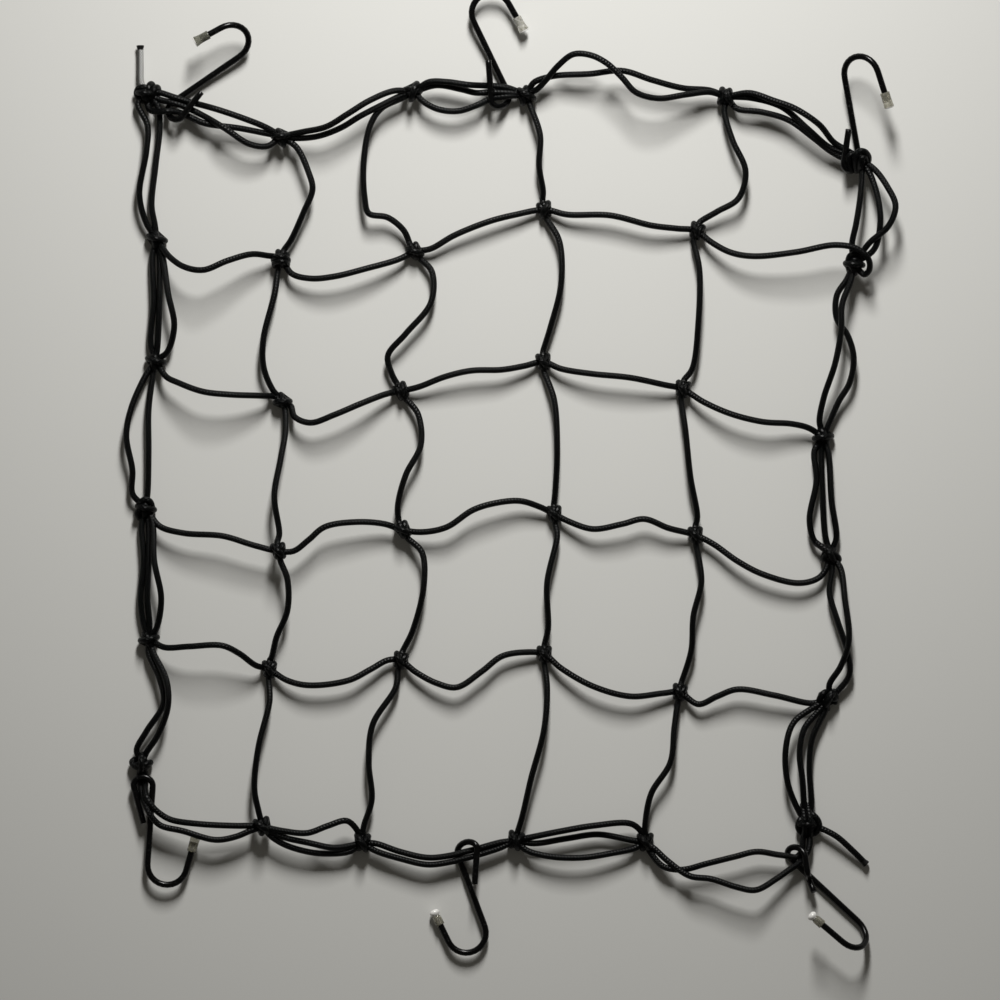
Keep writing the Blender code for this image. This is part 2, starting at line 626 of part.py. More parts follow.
def main():
    """Build the net, its hooks and its caps."""
    clear_scene()
    home = collection("cargo_net")
    cord = material("black_cord", CORD_COLOUR, 0.75)
    wire = material("coated_wire", WIRE_COLOUR, 0.22)
    clear_cap = material("clear_cap", CAP_COLOUR, 0.2)
    border = make_border()
    mesh = make_mesh(border)
    finish(border, home, cord)
    finish(mesh, home, cord)
    for name in CUT_ENDS:
        finish(make_cut_end(name, border), home, cord)
    for number, name in enumerate(HOOKS, start=1):
        finish(make_hook(name), home, wire)
        finish(make_cap(f"hook_cap_{number}", name), home, clear_cap)


main()
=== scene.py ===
"""The looks of an elastic cargo net with six wire hooks, lying on a pale surface.

Inner cords run whole from border to border and are tied to each other with hitches.
Places in plan are on a drawing grid whose squares are GRID metres wide, with x to
the right and y down. Heights above the surface, routes, radii and the lengths of the
hooks are in millimetres, and become metres in a mesh.
"""

from __future__ import annotations

import logging
import math
from dataclasses import dataclass
from enum import Enum
from typing import Iterable, Sequence

import bmesh
import bpy
import numpy as np
from bpy.types import Material, Mesh, NodeOutputs, NodeSocket, Object
from mathutils import Matrix, Vector


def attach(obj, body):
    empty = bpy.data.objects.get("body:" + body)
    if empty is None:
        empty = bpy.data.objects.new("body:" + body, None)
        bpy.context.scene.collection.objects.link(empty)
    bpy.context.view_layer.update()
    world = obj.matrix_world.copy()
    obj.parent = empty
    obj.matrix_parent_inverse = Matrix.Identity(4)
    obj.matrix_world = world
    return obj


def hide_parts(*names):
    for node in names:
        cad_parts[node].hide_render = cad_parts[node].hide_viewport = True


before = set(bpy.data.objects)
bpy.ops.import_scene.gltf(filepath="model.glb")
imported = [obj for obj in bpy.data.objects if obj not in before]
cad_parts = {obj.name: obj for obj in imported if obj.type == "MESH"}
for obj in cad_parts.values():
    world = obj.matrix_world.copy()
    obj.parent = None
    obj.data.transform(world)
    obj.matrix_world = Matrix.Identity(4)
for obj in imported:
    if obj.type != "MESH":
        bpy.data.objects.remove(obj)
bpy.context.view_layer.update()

LOG = logging.getLogger("cargo_net")
Colour = tuple[float, float, float, float]
Point = tuple[float, float, float]

MM = 0.001
GRID = 0.56 * MM
GRID_CENTRE = (510.0, 471.0)
BODY = "root"
BRAID_LAYER = "braid"

# Cord and knots, in mm: ENTRY is how far from a knot's middle a strand begins, and
# REST_HEIGHT is the middle of a knot that lies on the surface.
CORD_RADIUS = 1.75
HITCH_CORD_RADIUS = 1.5
ENTRY = 2.4
REST_HEIGHT = 3.9

# A knot is named after its column and its row; the outer ones are the border's.
COLUMNS, EDGE_COLUMNS = "ABCDEF", "AF"
ROWS, EDGE_ROWS = "123456", "16"

# How a mesh is made: points nearer than WELD metres are one, an edge sharper than
# SHARP_EDGE degrees is hard, and a route has a point where it turns by BEND_FOR_POINT
# degrees. A route that starts off the vertical by a sine under UPRIGHT is upright.
WELD = 0.000002
SHARP_EDGE = 55
BEND_FOR_POINT = 13
UPRIGHT = 0.1


class Tier(Enum):
    """Which cord makes the turns of an inner knot."""

    COLUMN = "column"
    ROW = "row"


class CapTip(Enum):
    """The form of a hook cap's closed end."""

    BALL = "ball"
    FLARE = "flare"
    PLAIN = "plain"


@dataclass(frozen=True)
class Knot:
    """A knot's place, the hand of its hitch (1 or -1) and the cord that ties it.

    height is the height of its middle, in mm.
    """

    x: float
    y: float
    height: float = REST_HEIGHT
    hand: int = 1
    tier: Tier = Tier.COLUMN


@dataclass(frozen=True)
class Strand:
    """A run of cord between two knots, with its arch (mm) and its points in plan.

    A point with a third number has that height, in place of the arch's.
    """

    start: str
    end: str
    lift: float
    via: tuple


@dataclass(frozen=True)
class HookPlace:
    """Where a hook lies and how it is bent; lengths in mm, angles in degrees.

    heading, pitch and roll set the shaft and the tip. lean turns the arm outward and
    eye_turn swings the leg's side of the eye. leg, shaft and arm are straight lengths.
    """

    x: float
    y: float
    height: float
    heading: float
    side: int
    pitch: float
    roll: float
    lean: float
    eye_width: float
    eye_turn: float
    leg_rise: float
    leg_end: float
    leg: float
    shaft: float
    arm: float


KNOTS: dict[str, Knot] = {
    "A1": Knot(146, 94),
    "B1": Knot(282, 137, 8.0),
    "C1": Knot(414, 92, 8.0),
    "D1": Knot(526, 95, 5.5),
    "E1": Knot(726, 97, 6.5),
    "F1": Knot(861, 160, 10.0),
    "A2": Knot(157, 239),
    "B2": Knot(281, 259),
    "C2": Knot(415, 252),
    "D2": Knot(545, 210, hand=-1),
    "E2": Knot(696, 231, 5.0),
    "F2": Knot(853, 265, 11.0),
    "A3": Knot(156, 361),
    "B3": Knot(283, 402, tier=Tier.ROW),
    "C3": Knot(402, 391, hand=-1),
    "D3": Knot(543, 362),
    "E3": Knot(682, 389, 5.0),
    "F3": Knot(823, 437),
    "A4": Knot(146, 508),
    "B4": Knot(279, 551, 13.0),
    "C4": Knot(403, 530, 6.0),
    "D4": Knot(554, 514),
    "E4": Knot(695, 535, 5.0),
    "F4": Knot(830, 554),
    "A5": Knot(149, 639),
    "B5": Knot(269, 669),
    "C5": Knot(400, 660),
    "D5": Knot(544, 654),
    "E5": Knot(679, 692),
    "F5": Knot(829, 698),
    "A6": Knot(142, 763),
    "B6": Knot(263, 826, 9.0),
    "C6": Knot(362, 842, 6.0),
    "D6": Knot(515, 840, 5.5),
    "E6": Knot(645, 842),
    "F6": Knot(807, 824),
}

MESH_STRANDS: tuple[Strand, ...] = tuple(Strand(*row) for row in (
    # Rows, from left to right.
    ("A2", "B2", 17, ((170, 257), (186, 268), (205, 271), (228, 262), (252, 255), (267, 256))),
    ("B2", "C2", 8, ((292, 274), (311, 279), (335, 277), (367, 269), (398, 260))),
    ("C2", "D2", 4, ((431, 249), (454, 236), (489, 222), (516, 215))),
    ("D2", "E2", 5, ((567, 215), (610, 216), (651, 226), (677, 229))),
    ("E2", "F2", 9, ((710, 242), (730, 253), (753, 257), (795, 253), (834, 246, 18),
        (856, 250, 18.5), (867, 260, 18), (868, 271, 15), (863, 275, 12.5))),
    ("A3", "B3", 13, ((167, 377), (179, 383), (204, 392), (231, 395), (262, 396))),
    ("B3", "C3", 10, ((295, 417), (311, 423), (335, 415), (361, 404), (387, 394))),
    ("C3", "D3", 6, ((419, 387), (445, 377), (471, 371), (502, 370), (525, 366))),
    ("D3", "E3", 6, ((561, 369), (591, 374), (630, 378), (664, 385))),
    ("E3", "F3", 7, ((703, 402), (730, 414), (762, 422), (791, 424), (808, 428))),
    ("A4", "B4", 5, ((160, 526), (184, 533), (224, 536), (254, 545))),
    ("B4", "C4", 3, ((294, 551), (309, 540), (325, 527), (356, 522), (385, 524))),
    ("C4", "D4", 6, ((423, 532), (447, 527), (473, 510), (496, 503), (520, 501), (540, 507))),
    ("D4", "E4", 5.5, ((570, 522), (593, 529), (622, 524), (644, 519), (668, 528))),
    ("E4", "F4", 4, ((713, 544), (737, 561), (762, 574), (798, 583), (818, 578), (826, 568))),
    ("A5", "B5", 14, ((165, 647), (190, 646), (223, 645), (240, 653), (256, 665))),
    ("B5", "C5", 5, ((287, 680), (309, 685), (349, 680), (371, 669), (388, 660))),
    ("C5", "D5", 4.5, ((416, 672), (437, 683), (457, 687), (482, 671), (502, 656), (527, 652))),
    ("D5", "E5", 5, ((561, 668), (593, 686), (630, 696), (663, 693))),
    ("E5", "F5", 5, ((698, 704), (717, 696), (737, 689), (774, 695), (812, 703))),
    # Columns, from top to bottom.
    ("B1", "B2", 5, ((297, 148), (309, 173), (313, 190), (304, 213), (291, 241))),
    ("C1", "C2", 5, ((402, 99), (382, 109), (371, 125), (364, 163), (365, 199), (369, 214),
        (388, 218), (404, 231))),
    ("D1", "D2", 5, ((532, 111), (540, 136), (539, 167), (543, 192))),
    ("E1", "E2", 5, ((724, 113), (732, 141), (745, 172), (738, 199), (717, 212))),
    ("B2", "B3", 6, ((275, 294), (264, 339), (264, 367), (273, 390))),
    ("C2", "C3", 5, ((432, 272), (431, 303), (406, 334), (388, 356), (392, 374))),
    ("D2", "D3", 5, ((559, 241), (561, 284), (550, 329))),
    ("E2", "E3", 5, ((699, 270), (698, 322), (692, 369))),
    ("B3", "B4", 5, ((286, 428), (281, 460), (275, 496), (280, 534))),
    ("C3", "C4", 5, ((418, 414), (421, 445), (406, 475), (398, 506))),
    ("D3", "D4", 6, ((554, 400), (557, 449), (555, 494))),
    ("E3", "E4", 5, ((685, 430), (690, 477), (697, 517))),
    ("B4", "B5", 4, ((288, 579), (288, 610), (277, 637), (272, 657))),
    ("C4", "C5", 5, ((422, 552), (424, 585), (413, 630))),
    ("D4", "D5", 6, ((557, 536), (547, 583), (548, 628))),
    ("E4", "E5", 5, ((701, 581), (693, 616), (691, 650))),
    ("B5", "B6", 6, ((270, 700), (259, 747), (255, 788), (259, 810))),
    ("C5", "C6", 5, ((396, 687), (373, 724), (369, 762), (372, 799), (364, 826))),
    ("D5", "D6", 6, ((547, 688), (544, 729), (531, 778), (522, 817))),
    ("E5", "E6", 5, ((674, 728), (670, 762), (651, 793), (645, 824))),
))

BORDER_STRANDS: tuple[Strand, ...] = tuple(Strand(*row) for row in (
    # Top, from left to right.
    ("A1", "B1", 8, ((159, 93, 5.4), (175, 98, 7.4), (190, 102.5, 7.4), (216, 110), (243, 119),
        (266, 128))),
    ("A1", "B1", 3, ((150, 110, 6), (159, 112.5, 9), (168, 112, 11), (177, 112.5, 9.4),
        (189, 117, 7.2), (205, 124), (240, 129), (266, 134))),
    ("A1", "B1", 9, ((160, 100, 5), (175, 104, 6.9), (188, 108.5, 7), (205, 117, 8.5),
        (225, 129, 14), (250, 145), (268, 147))),
    ("B1", "C1", 10, ((303, 133), (327, 128), (349, 115), (370, 102), (394, 92))),
    ("B1", "C1", 5, ((298, 139), (319, 137), (341, 129), (361, 117), (386, 104), (400, 97))),
    ("C1", "D1", 6, ((429, 83), (447, 83), (469, 86), (490, 86.5, 7.6), (506, 88, 7.2))),
    ("C1", "D1", 1, ((437, 86), (461, 90), (476, 93.5), (490, 93, 7.8), (507, 93.5, 8))),
    ("C1", "D1", 3, ((423, 102), (438, 110), (458, 112), (477, 106), (491, 99.5, 7),
        (505, 97.3, 7.9))),
    ("D1", "E1", 15, ((537, 90), (545, 82), (558, 67), (573, 56), (590, 57), (606, 65), (621, 79),
        (635, 94), (657, 100), (685, 96), (709, 93))),
    ("D1", "E1", 7, ((534, 83), (553, 77), (590, 75), (622, 72), (651, 81), (682, 89),
        (709, 91))),
    ("E1", "F1", 9, ((749, 94), (773, 102), (794, 110), (818, 126), (833, 143, 10),
        (846, 151, 9.4))),
    ("E1", "F1", 4, ((752, 99), (781, 108), (807, 130), (828, 147.5, 9.2), (846, 155, 8.8))),
    ("E1", "F1", 2, ((736, 109), (762, 113), (788, 121), (813, 139), (830, 152, 8.6),
        (846, 160, 8.4))),
    # Right, from top to bottom.
    ("F1", "F2", 3, ((861, 178), (859, 200), (855, 225), (851, 245))),
    ("F1", "F2", 5, ((870, 177), (877, 201), (879, 224), (873, 250))),
    ("F1", "F2", 8, ((875, 172), (886, 188), (894, 207), (887, 227), (868, 244))),
    ("F2", "F3", 2, ((846, 280), (836, 296), (836, 319), (847, 336), (853, 358), (849, 383),
        (838, 402), (829, 423))),
    ("F2", "F3", 8, ((850, 281), (841, 305), (840, 330), (834, 364), (823, 398), (819, 422))),
    ("F3", "F4", 4, ((814, 451), (816, 480), (809, 520), (814, 541), (821, 547))),
    ("F3", "F4", 1, ((821, 451), (822, 490), (825, 536))),
    ("F3", "F4", 3, ((828, 453), (831, 500), (836, 538))),
    ("F4", "F5", 4, ((832, 568), (829, 592), (837, 621), (847, 652), (849, 674), (839, 689))),
    ("F4", "F5", 8, ((840, 568), (844, 598), (848, 640), (840, 666), (829, 684))),
    ("F5", "F6", 8, ((815, 706), (793, 722), (785, 748), (787, 782), (799, 812))),
    ("F5", "F6", 5, ((818, 711), (804, 728), (799, 752), (802, 780), (804, 808))),
    ("F5", "F6", 2, ((824, 712), (812, 738), (809, 766), (811, 806))),
    # Left, from top to bottom.
    ("A1", "A2", 5, ((138, 104), (148, 126), (147, 152), (140, 195), (147, 224))),
    ("A1", "A2", 2, ((158, 106), (160, 128), (156, 166), (152, 206), (155, 224))),
    ("A2", "A3", 2, ((153, 255), (154, 301), (151, 345))),
    ("A2", "A3", 3, ((160, 255), (160, 301), (158, 345))),
    ("A2", "A3", 8, ((163, 256), (169, 294), (175, 326), (168, 352))),
    ("A3", "A4", 5, ((147, 374), (132, 408), (127, 436), (133, 470), (133, 494))),
    ("A3", "A4", 2, ((153, 377), (149, 410), (149, 451), (148, 492))),
    ("A4", "A5", 2, ((142, 524), (144, 560), (141, 600), (144, 624))),
    ("A4", "A5", 3, ((149, 524), (149, 565), (148, 600), (150, 624))),
    ("A4", "A5", 8, ((153, 522), (155, 560), (162, 598), (157, 628))),
    ("A5", "A6", 4, ((149, 653), (160, 678), (164, 703), (147, 731), (137, 750))),
    ("A5", "A6", 9, ((154, 653), (167, 679), (169, 705), (159, 734), (147, 752))),
    # Bottom, from left to right.
    ("A6", "B6", 7, ((146, 776.5, 1.95), (145.8, 783, 2.9), (145.6, 790, 6.2),
        (147.8, 797.5, 10.2), (153.5, 806, 11.2), (161, 813, 11), (172, 819, 11), (200, 823),
        (238, 825), (250, 825))),
    ("A6", "B6", 5, ((139.6, 777, 1.95), (140.4, 784, 2.2), (141.8, 791, 4.2), (144.3, 799, 7.6),
        (149, 810, 10.9), (154, 818, 11.2), (162, 825, 10.8), (183, 830), (216, 839), (236, 836),
        (251, 830))),
    ("B6", "C6", 6, ((283, 830), (308, 832), (328, 825), (347, 820), (357, 829))),
    ("B6", "C6", 3, ((283, 836), (309, 842), (334, 847), (351, 845))),
    ("B6", "C6", 0, ((272, 836), (285, 844), (303, 850), (323, 853), (350, 851))),
    ("C6", "D6", 3, ((376, 843), (400, 851), (428, 857), (450, 855, 7.2), (462, 852, 7.2),
        (476, 848.5, 7), (500, 842))),
    ("C6", "D6", 2, ((375, 850), (400, 858), (428, 864), (450, 861.5, 7), (462, 858.5, 7),
        (476, 855, 7), (501, 847))),
    ("D6", "E6", 6, ((534, 836), (558, 831), (593, 825), (630, 823), (640, 830))),
    ("D6", "E6", 1, ((534, 843), (567, 838), (598, 834), (632, 840))),
    ("D6", "E6", 4, ((527, 850), (551, 856), (582, 857), (610, 853), (634, 848))),
    ("E6", "F6", 6, ((651, 853), (663, 866), (682, 869), (706, 863), (734, 856), (756, 851),
        (777, 854), (788, 855.5, 7.8), (796, 856.5, 7.1), (801.5, 850, 5.8), (802.5, 838, 4.8))),
    ("E6", "F6", 9, ((655, 849), (667, 860), (689, 875), (711, 878), (736, 886), (755, 889),
        (776, 878, 9), (789, 869, 7.4), (799.5, 861.5, 7.4), (807.5, 851, 6.6),
        (809.5, 839, 4.8))),
))

# The two cut ends: the knot each leaves, and its course outward.
CUT_ENDS: dict[str, tuple[str, tuple]] = {
    "cut_end_1": ("A1", ((141.5, 82, 4.6), (141, 65, 4.2), (140.5, 46, 3.2))),
    "cut_end_2": ("F6", ((818, 827, 4.4), (836, 836, 5.4), (852, 850, 4.4), (866, 864, 2.6))),
}

# Further turns that thicken some of the knots: points (x, y, height).
KNOT_TURNS: dict[str, tuple] = {
    "B2": (
        ((275, 262.4, 2.6), (274, 259.4, 6.4), (277.6, 257.2, 9.6), (284, 257.4, 9.8),
            (288, 259.8, 7), (287.4, 263, 2.8)),
        ((275.4, 266, 2.6), (275, 263, 7), (279.6, 261.8, 9.8), (284.4, 262.2, 9.8),
            (287.4, 264, 6.4), (286.6, 267, 2.8)),
    ),
    "A1": (
        ((150, 99, 2.6), (150, 91, 5.2), (145.5, 88, 6.6), (139.5, 88.6, 5.6), (137, 93, 4.2),
            (139, 99, 3.0), (144, 101, 2.2)),
        ((151, 104, 2.2), (149.5, 98, 5.2), (149, 91, 7.4), (149.8, 86, 6.2), (152, 84.4, 3.8),
            (154, 88, 2.0)),
        ((152, 105, 2.2), (152, 98, 5.8), (153.4, 92, 7.6), (156, 88.4, 6.2), (158, 88, 3.8),
            (159, 92, 2.0)),
    ),
    "F1": (
        ((850, 172, 9.5), (847.5, 165, 13), (847.6, 158.5, 15.6), (849.6, 155.6, 16.2),
            (852.2, 157.4, 15), (853, 163, 12), (853, 170, 8)),
        ((856, 172, 8), (854, 165, 13), (854.6, 158, 17), (858, 152.6, 17.6), (863, 152.8, 16.6),
            (867, 156.6, 13.8), (867.6, 161.5, 10.6), (864, 166, 7.6)),
        ((860, 172, 8), (858.6, 166, 13), (859.6, 160, 16.4), (863, 158, 15.6), (865, 163, 12)),
    ),
    "F2": (
        ((849, 272, 8.5), (847, 264, 12), (849, 256.6, 14.2), (854.5, 254.4, 14.6),
            (859, 258, 13.2), (859, 265, 10.4)),
        ((852, 274, 8.5), (850.6, 266, 13), (853, 260.4, 15), (857, 263, 14), (857.6, 271, 10)),
    ),
    "A4": (
        ((140, 511, 3), (140.6, 503.4, 6.2), (145.6, 499.4, 7.4), (150.6, 501.6, 6.8),
            (152.6, 508, 4.8), (151, 514, 2.8)),
        ((147, 504.6, 7.2), (141.4, 508.4, 7.6), (137.6, 513.6, 6), (140, 518, 3.2)),
    ),
    "F4": (
        ((815, 542, 5.4), (822, 547.4, 7.8), (830, 552.2, 8.2), (836.6, 556, 6.6),
            (838.4, 559.8, 4.2), (834.6, 562.6, 2.4)),
    ),
    "F5": (
        ((820, 708, 2.6), (818.4, 701.4, 6), (821.6, 694, 8), (826, 691.6, 7.2),
            (828.6, 696, 4.6)),
        ((827, 709, 2.6), (825.6, 702, 7), (828.4, 695.4, 8.4), (832.6, 692, 7),
            (835.4, 696, 4.8), (834.6, 703, 2.6)),
    ),
    "A6": (
        ((149, 763, 2.4), (148, 766, 4.8), (141, 767, 7.4), (134.6, 765.4, 5.8),
            (132.4, 761.6, 4), (135.4, 759, 2.4)),
    ),
    "F6": (
        ((806, 810, 3), (811.6, 813.6, 5.6), (817, 819, 5.8), (819, 825.6, 5.2), (816, 831.6, 4),
            (809, 834.6, 2.6)),
        ((804, 815, 3), (799.6, 819.6, 5.8), (797.6, 825.6, 5.4), (800, 831.4, 4.2),
            (805.6, 834.6, 2.6)),
        ((802.6, 804, 3.4), (803, 812, 6.6), (804, 820, 8.6), (804.6, 828, 8), (804, 836, 4.6)),
        ((807.6, 804, 3.4), (808.4, 812, 6.8), (809.6, 820, 8.4), (810, 828, 7.8),
            (809.6, 836, 4.6)),
    ),
}

# Each row has the fields of a HookPlace, in their order.
HOOKS: dict[str, HookPlace] = {name: HookPlace(*row) for name, row in {
    "hook_1": (172.3, 103, 2.3, 34.3, 1, 4, 34, 7, 10.4, 0, 9.6, -4.9, 17.6, 46.0, 8.0),
    "hook_2": (507.9, 93, 2.5, 115.8, -1, 6, 0, 4, 10.8, 0, 9.6, -2.2, 21.6, 44.3, 9.0),
    "hook_3": (858.8, 159, 2.9, 100.6, -1, 11, 34, 9, 9.6, 0, 10.4, -3.4, 19.0, 46.9, 12.6),
    "hook_4": (153.2, 786, 6.4, -93.8, 1, 0, 0, 12, 10.8, 0, -0.6, -3.8, 20.8, 43.4, 11.0),
    "hook_5": (458, 854.5, 2.2, -69.5, -1, 3, 0, 5.5, 11.7, 0, 9.6, -3.2, 18.8, 42.7, 10.4),
    "hook_6": (790, 857.8, 2.1, -43, -1, 0, 50, 4, 8.2, 45, 9.8, 7.3, 16.4, 51.6, 14.9),
}.items()}

# The caps' closed ends, in the order of the hooks.
CAP_TIPS: tuple[CapTip, ...] = (
    CapTip.FLARE, CapTip.FLARE, CapTip.PLAIN, CapTip.PLAIN, CapTip.BALL, CapTip.BALL,
)
# How far along each kind of cap its sleeve ends and its closed end begins.
CAP_ENDS: dict[CapTip, float] = {CapTip.BALL: 5.9, CapTip.FLARE: 8.5, CapTip.PLAIN: 8.2}
# The outside of each kind of cap: (radius, along the wire) in mm, from its mouth.
CAP_OUTLINES: dict[CapTip, tuple] = {
    CapTip.BALL: (
        (2.1, 0.0), (2.35, 0.0), (2.5, 0.2), (2.52, 1.0), (2.5, 3.0), (2.4, 4.4), (2.1, 5.2),
        (1.95, 5.7), (2.1, 6.1), (2.5, 6.6), (2.75, 7.2), (2.78, 7.7), (2.6, 8.3), (2.1, 8.9),
        (1.3, 9.25), (0.0, 9.35),
    ),
    CapTip.FLARE: (
        (2.1, 0.0), (2.4, 0.0), (2.52, 0.2), (2.5, 1.2), (2.45, 3.0), (2.5, 5.0), (2.62, 6.4),
        (2.85, 7.6), (2.98, 8.5), (2.95, 8.85), (2.7, 9.05), (2.2, 8.95), (1.2, 8.8), (0.0, 8.75),
    ),
    CapTip.PLAIN: (
        (2.1, 0.0), (2.5, 0.0), (2.64, 0.2), (2.66, 1.2), (2.62, 3.0), (2.66, 5.0), (2.72, 6.8),
        (2.8, 7.8), (2.76, 8.4), (2.55, 8.8), (2.1, 9.0), (1.2, 8.95), (0.0, 8.9),
    ),
}

# A cap's bore and the bare wire inside it, as (radius, along the wire) in mm.
CAP_BORE = ((0.0, 5.6), (1.5, 5.5), (2.0, 5.0), (2.0, 0.15))
CAP_CORE = ((1.1, -1.0), (1.1, 0.0), (1.1, 4.9), (0.66, 5.2))

# The hitch, seen from above with the tied cord running left to right through its
# middle and the tying cord coming in from the top: (across, along, above) in mm.
HITCH_IN = ((0.1, 5.6, 1.2), (-0.1, 3.4, 2.3))
HITCH_TURNS = (
    (-0.4, 0.6, 2.9), (-0.8, -1.9, 2.3), (-1.2, -3.2, 0.4), (-1.6, -2.3, -1.9),
    (-2.1, 0.0, -2.6), (-2.6, 2.3, -1.8), (-2.9, 3.4, 0.4), (-2.6, 2.9, 2.7),
    (-1.1, 1.2, 4.5), (0.8, -0.9, 4.5), (2.2, -2.8, 2.4), (2.6, -3.3, 0.0),
    (2.6, -1.8, -2.1), (2.7, 0.6, -2.5), (2.9, 2.9, -1.2), (2.9, 3.5, 0.9),
    (2.2, 2.2, 2.6), (1.2, -0.2, 2.9), (0.8, -2.4, 2.1),
)
HITCH_OUT = ((0.6, -4.2, 1.0), (0.5, -5.8, 0.5))
# How a hitch of the border ends, and the direction that its cord comes in from at
# the corners, where no cord of the mesh ends.
HITCH_TAIL = (0.4, -1.2, 0.0)
CORNER_FACING = {"A1": -45.0, "F1": -135.0, "A6": 45.0, "F6": 135.0}


def place(x: float, y: float, height: float) -> Vector:
    """A grid point and its height in mm, in millimetres of the model."""
    scale = GRID / MM
    return Vector(((x - GRID_CENTRE[0]) * scale, (GRID_CENTRE[1] - y) * scale, height))


def knot_middle(name: str) -> Vector:
    """The middle of a knot, in mm."""
    return place(KNOTS[name].x, KNOTS[name].y, KNOTS[name].height)


def entry(name: str, toward: Vector) -> Vector:
    """The point inside a knot where a strand begins that runs toward a point."""
    middle = knot_middle(name)
    return middle + (toward - middle).normalized() * ENTRY


def on_edge(name: str) -> bool:
    """Whether a knot is one of the border's."""
    return name[0] in EDGE_COLUMNS or name[1] in EDGE_ROWS


def direction(start: Vector, end: Vector) -> float:
    """The direction in plan from one point to another, in degrees."""
    return math.degrees(math.atan2(end.y - start.y, end.x - start.x))


def smooth_route(points: Sequence[Vector], steps: int) -> list[Vector]:
    """A centripetal Catmull-Rom curve through points.

    Args:
        points: The points it passes, in order.
        steps: How many straight steps it takes between two points.

    Returns:
        The points of the curve.
    """
    ends = [2 * points[0] - points[1], *points, 2 * points[-1] - points[-2]]
    route = [points[0].copy()]
    for p0, p1, p2, p3 in zip(ends, ends[1:], ends[2:], ends[3:]):
        t1 = math.sqrt((p1 - p0).length)
        t2 = t1 + math.sqrt((p2 - p1).length)
        t3 = t2 + math.sqrt((p3 - p2).length)
        for step in range(1, steps + 1):
            t = t1 + (t2 - t1) * step / steps
            a1 = p0.lerp(p1, t / t1)
            a2 = p1.lerp(p2, (t - t1) / (t2 - t1))
            a3 = p2.lerp(p3, (t - t2) / (t3 - t2))
            b1 = a1.lerp(a2, t / t2)
            b2 = a2.lerp(a3, (t - t1) / (t3 - t1))
            route.append(b1.lerp(b2, (t - t1) / (t2 - t1)))
    return route


def spaced(route: Sequence[Vector], tight: float, loose: float) -> list[Vector]:
    """A route's points, close together where it bends and far apart where it is straight.

    Args:
        route: A fine route.
        tight: The least distance between points, in mm.
        loose: The greatest.

    Returns:
        The chosen points, with both ends.
    """
    kept = [route[0]]
    heading = (route[1] - route[0]).normalized()
    for here, after in zip(route[1:], route[2:]):
        run = (here - kept[-1]).length
        ahead = (after - here).normalized()
        bent = heading.angle(ahead, 0.0) >= math.radians(BEND_FOR_POINT)
        if run >= loose or (run >= tight and bent):
            kept.append(here)
            heading = ahead
    kept.append(route[-1])
    return kept


def strand_points(strand: Strand) -> list[Vector]:
    """The points of a strand between its two knots, with their heights.

    Args:
        strand: The strand.

    Returns:
        Its own points, without the middles of its knots.
    """
    start, end = knot_middle(strand.start), knot_middle(strand.end)
    flat = [start, *(place(point[0], point[1], 0) for point in strand.via), end]
    lengths = [(b - a).xy.length for a, b in zip(flat, flat[1:])]
    total = sum(lengths)
    run = 0.0
    points = []
    for via, point, length in zip(strand.via, flat[1:], lengths):
        run += length
        share = run / total
        arch = strand.lift * math.sin(math.pi * share)
        height = via[2] if len(via) == 3 else start.z + (end.z - start.z) * share + arch
        points.append(Vector((point.x, point.y, height)))
    return points


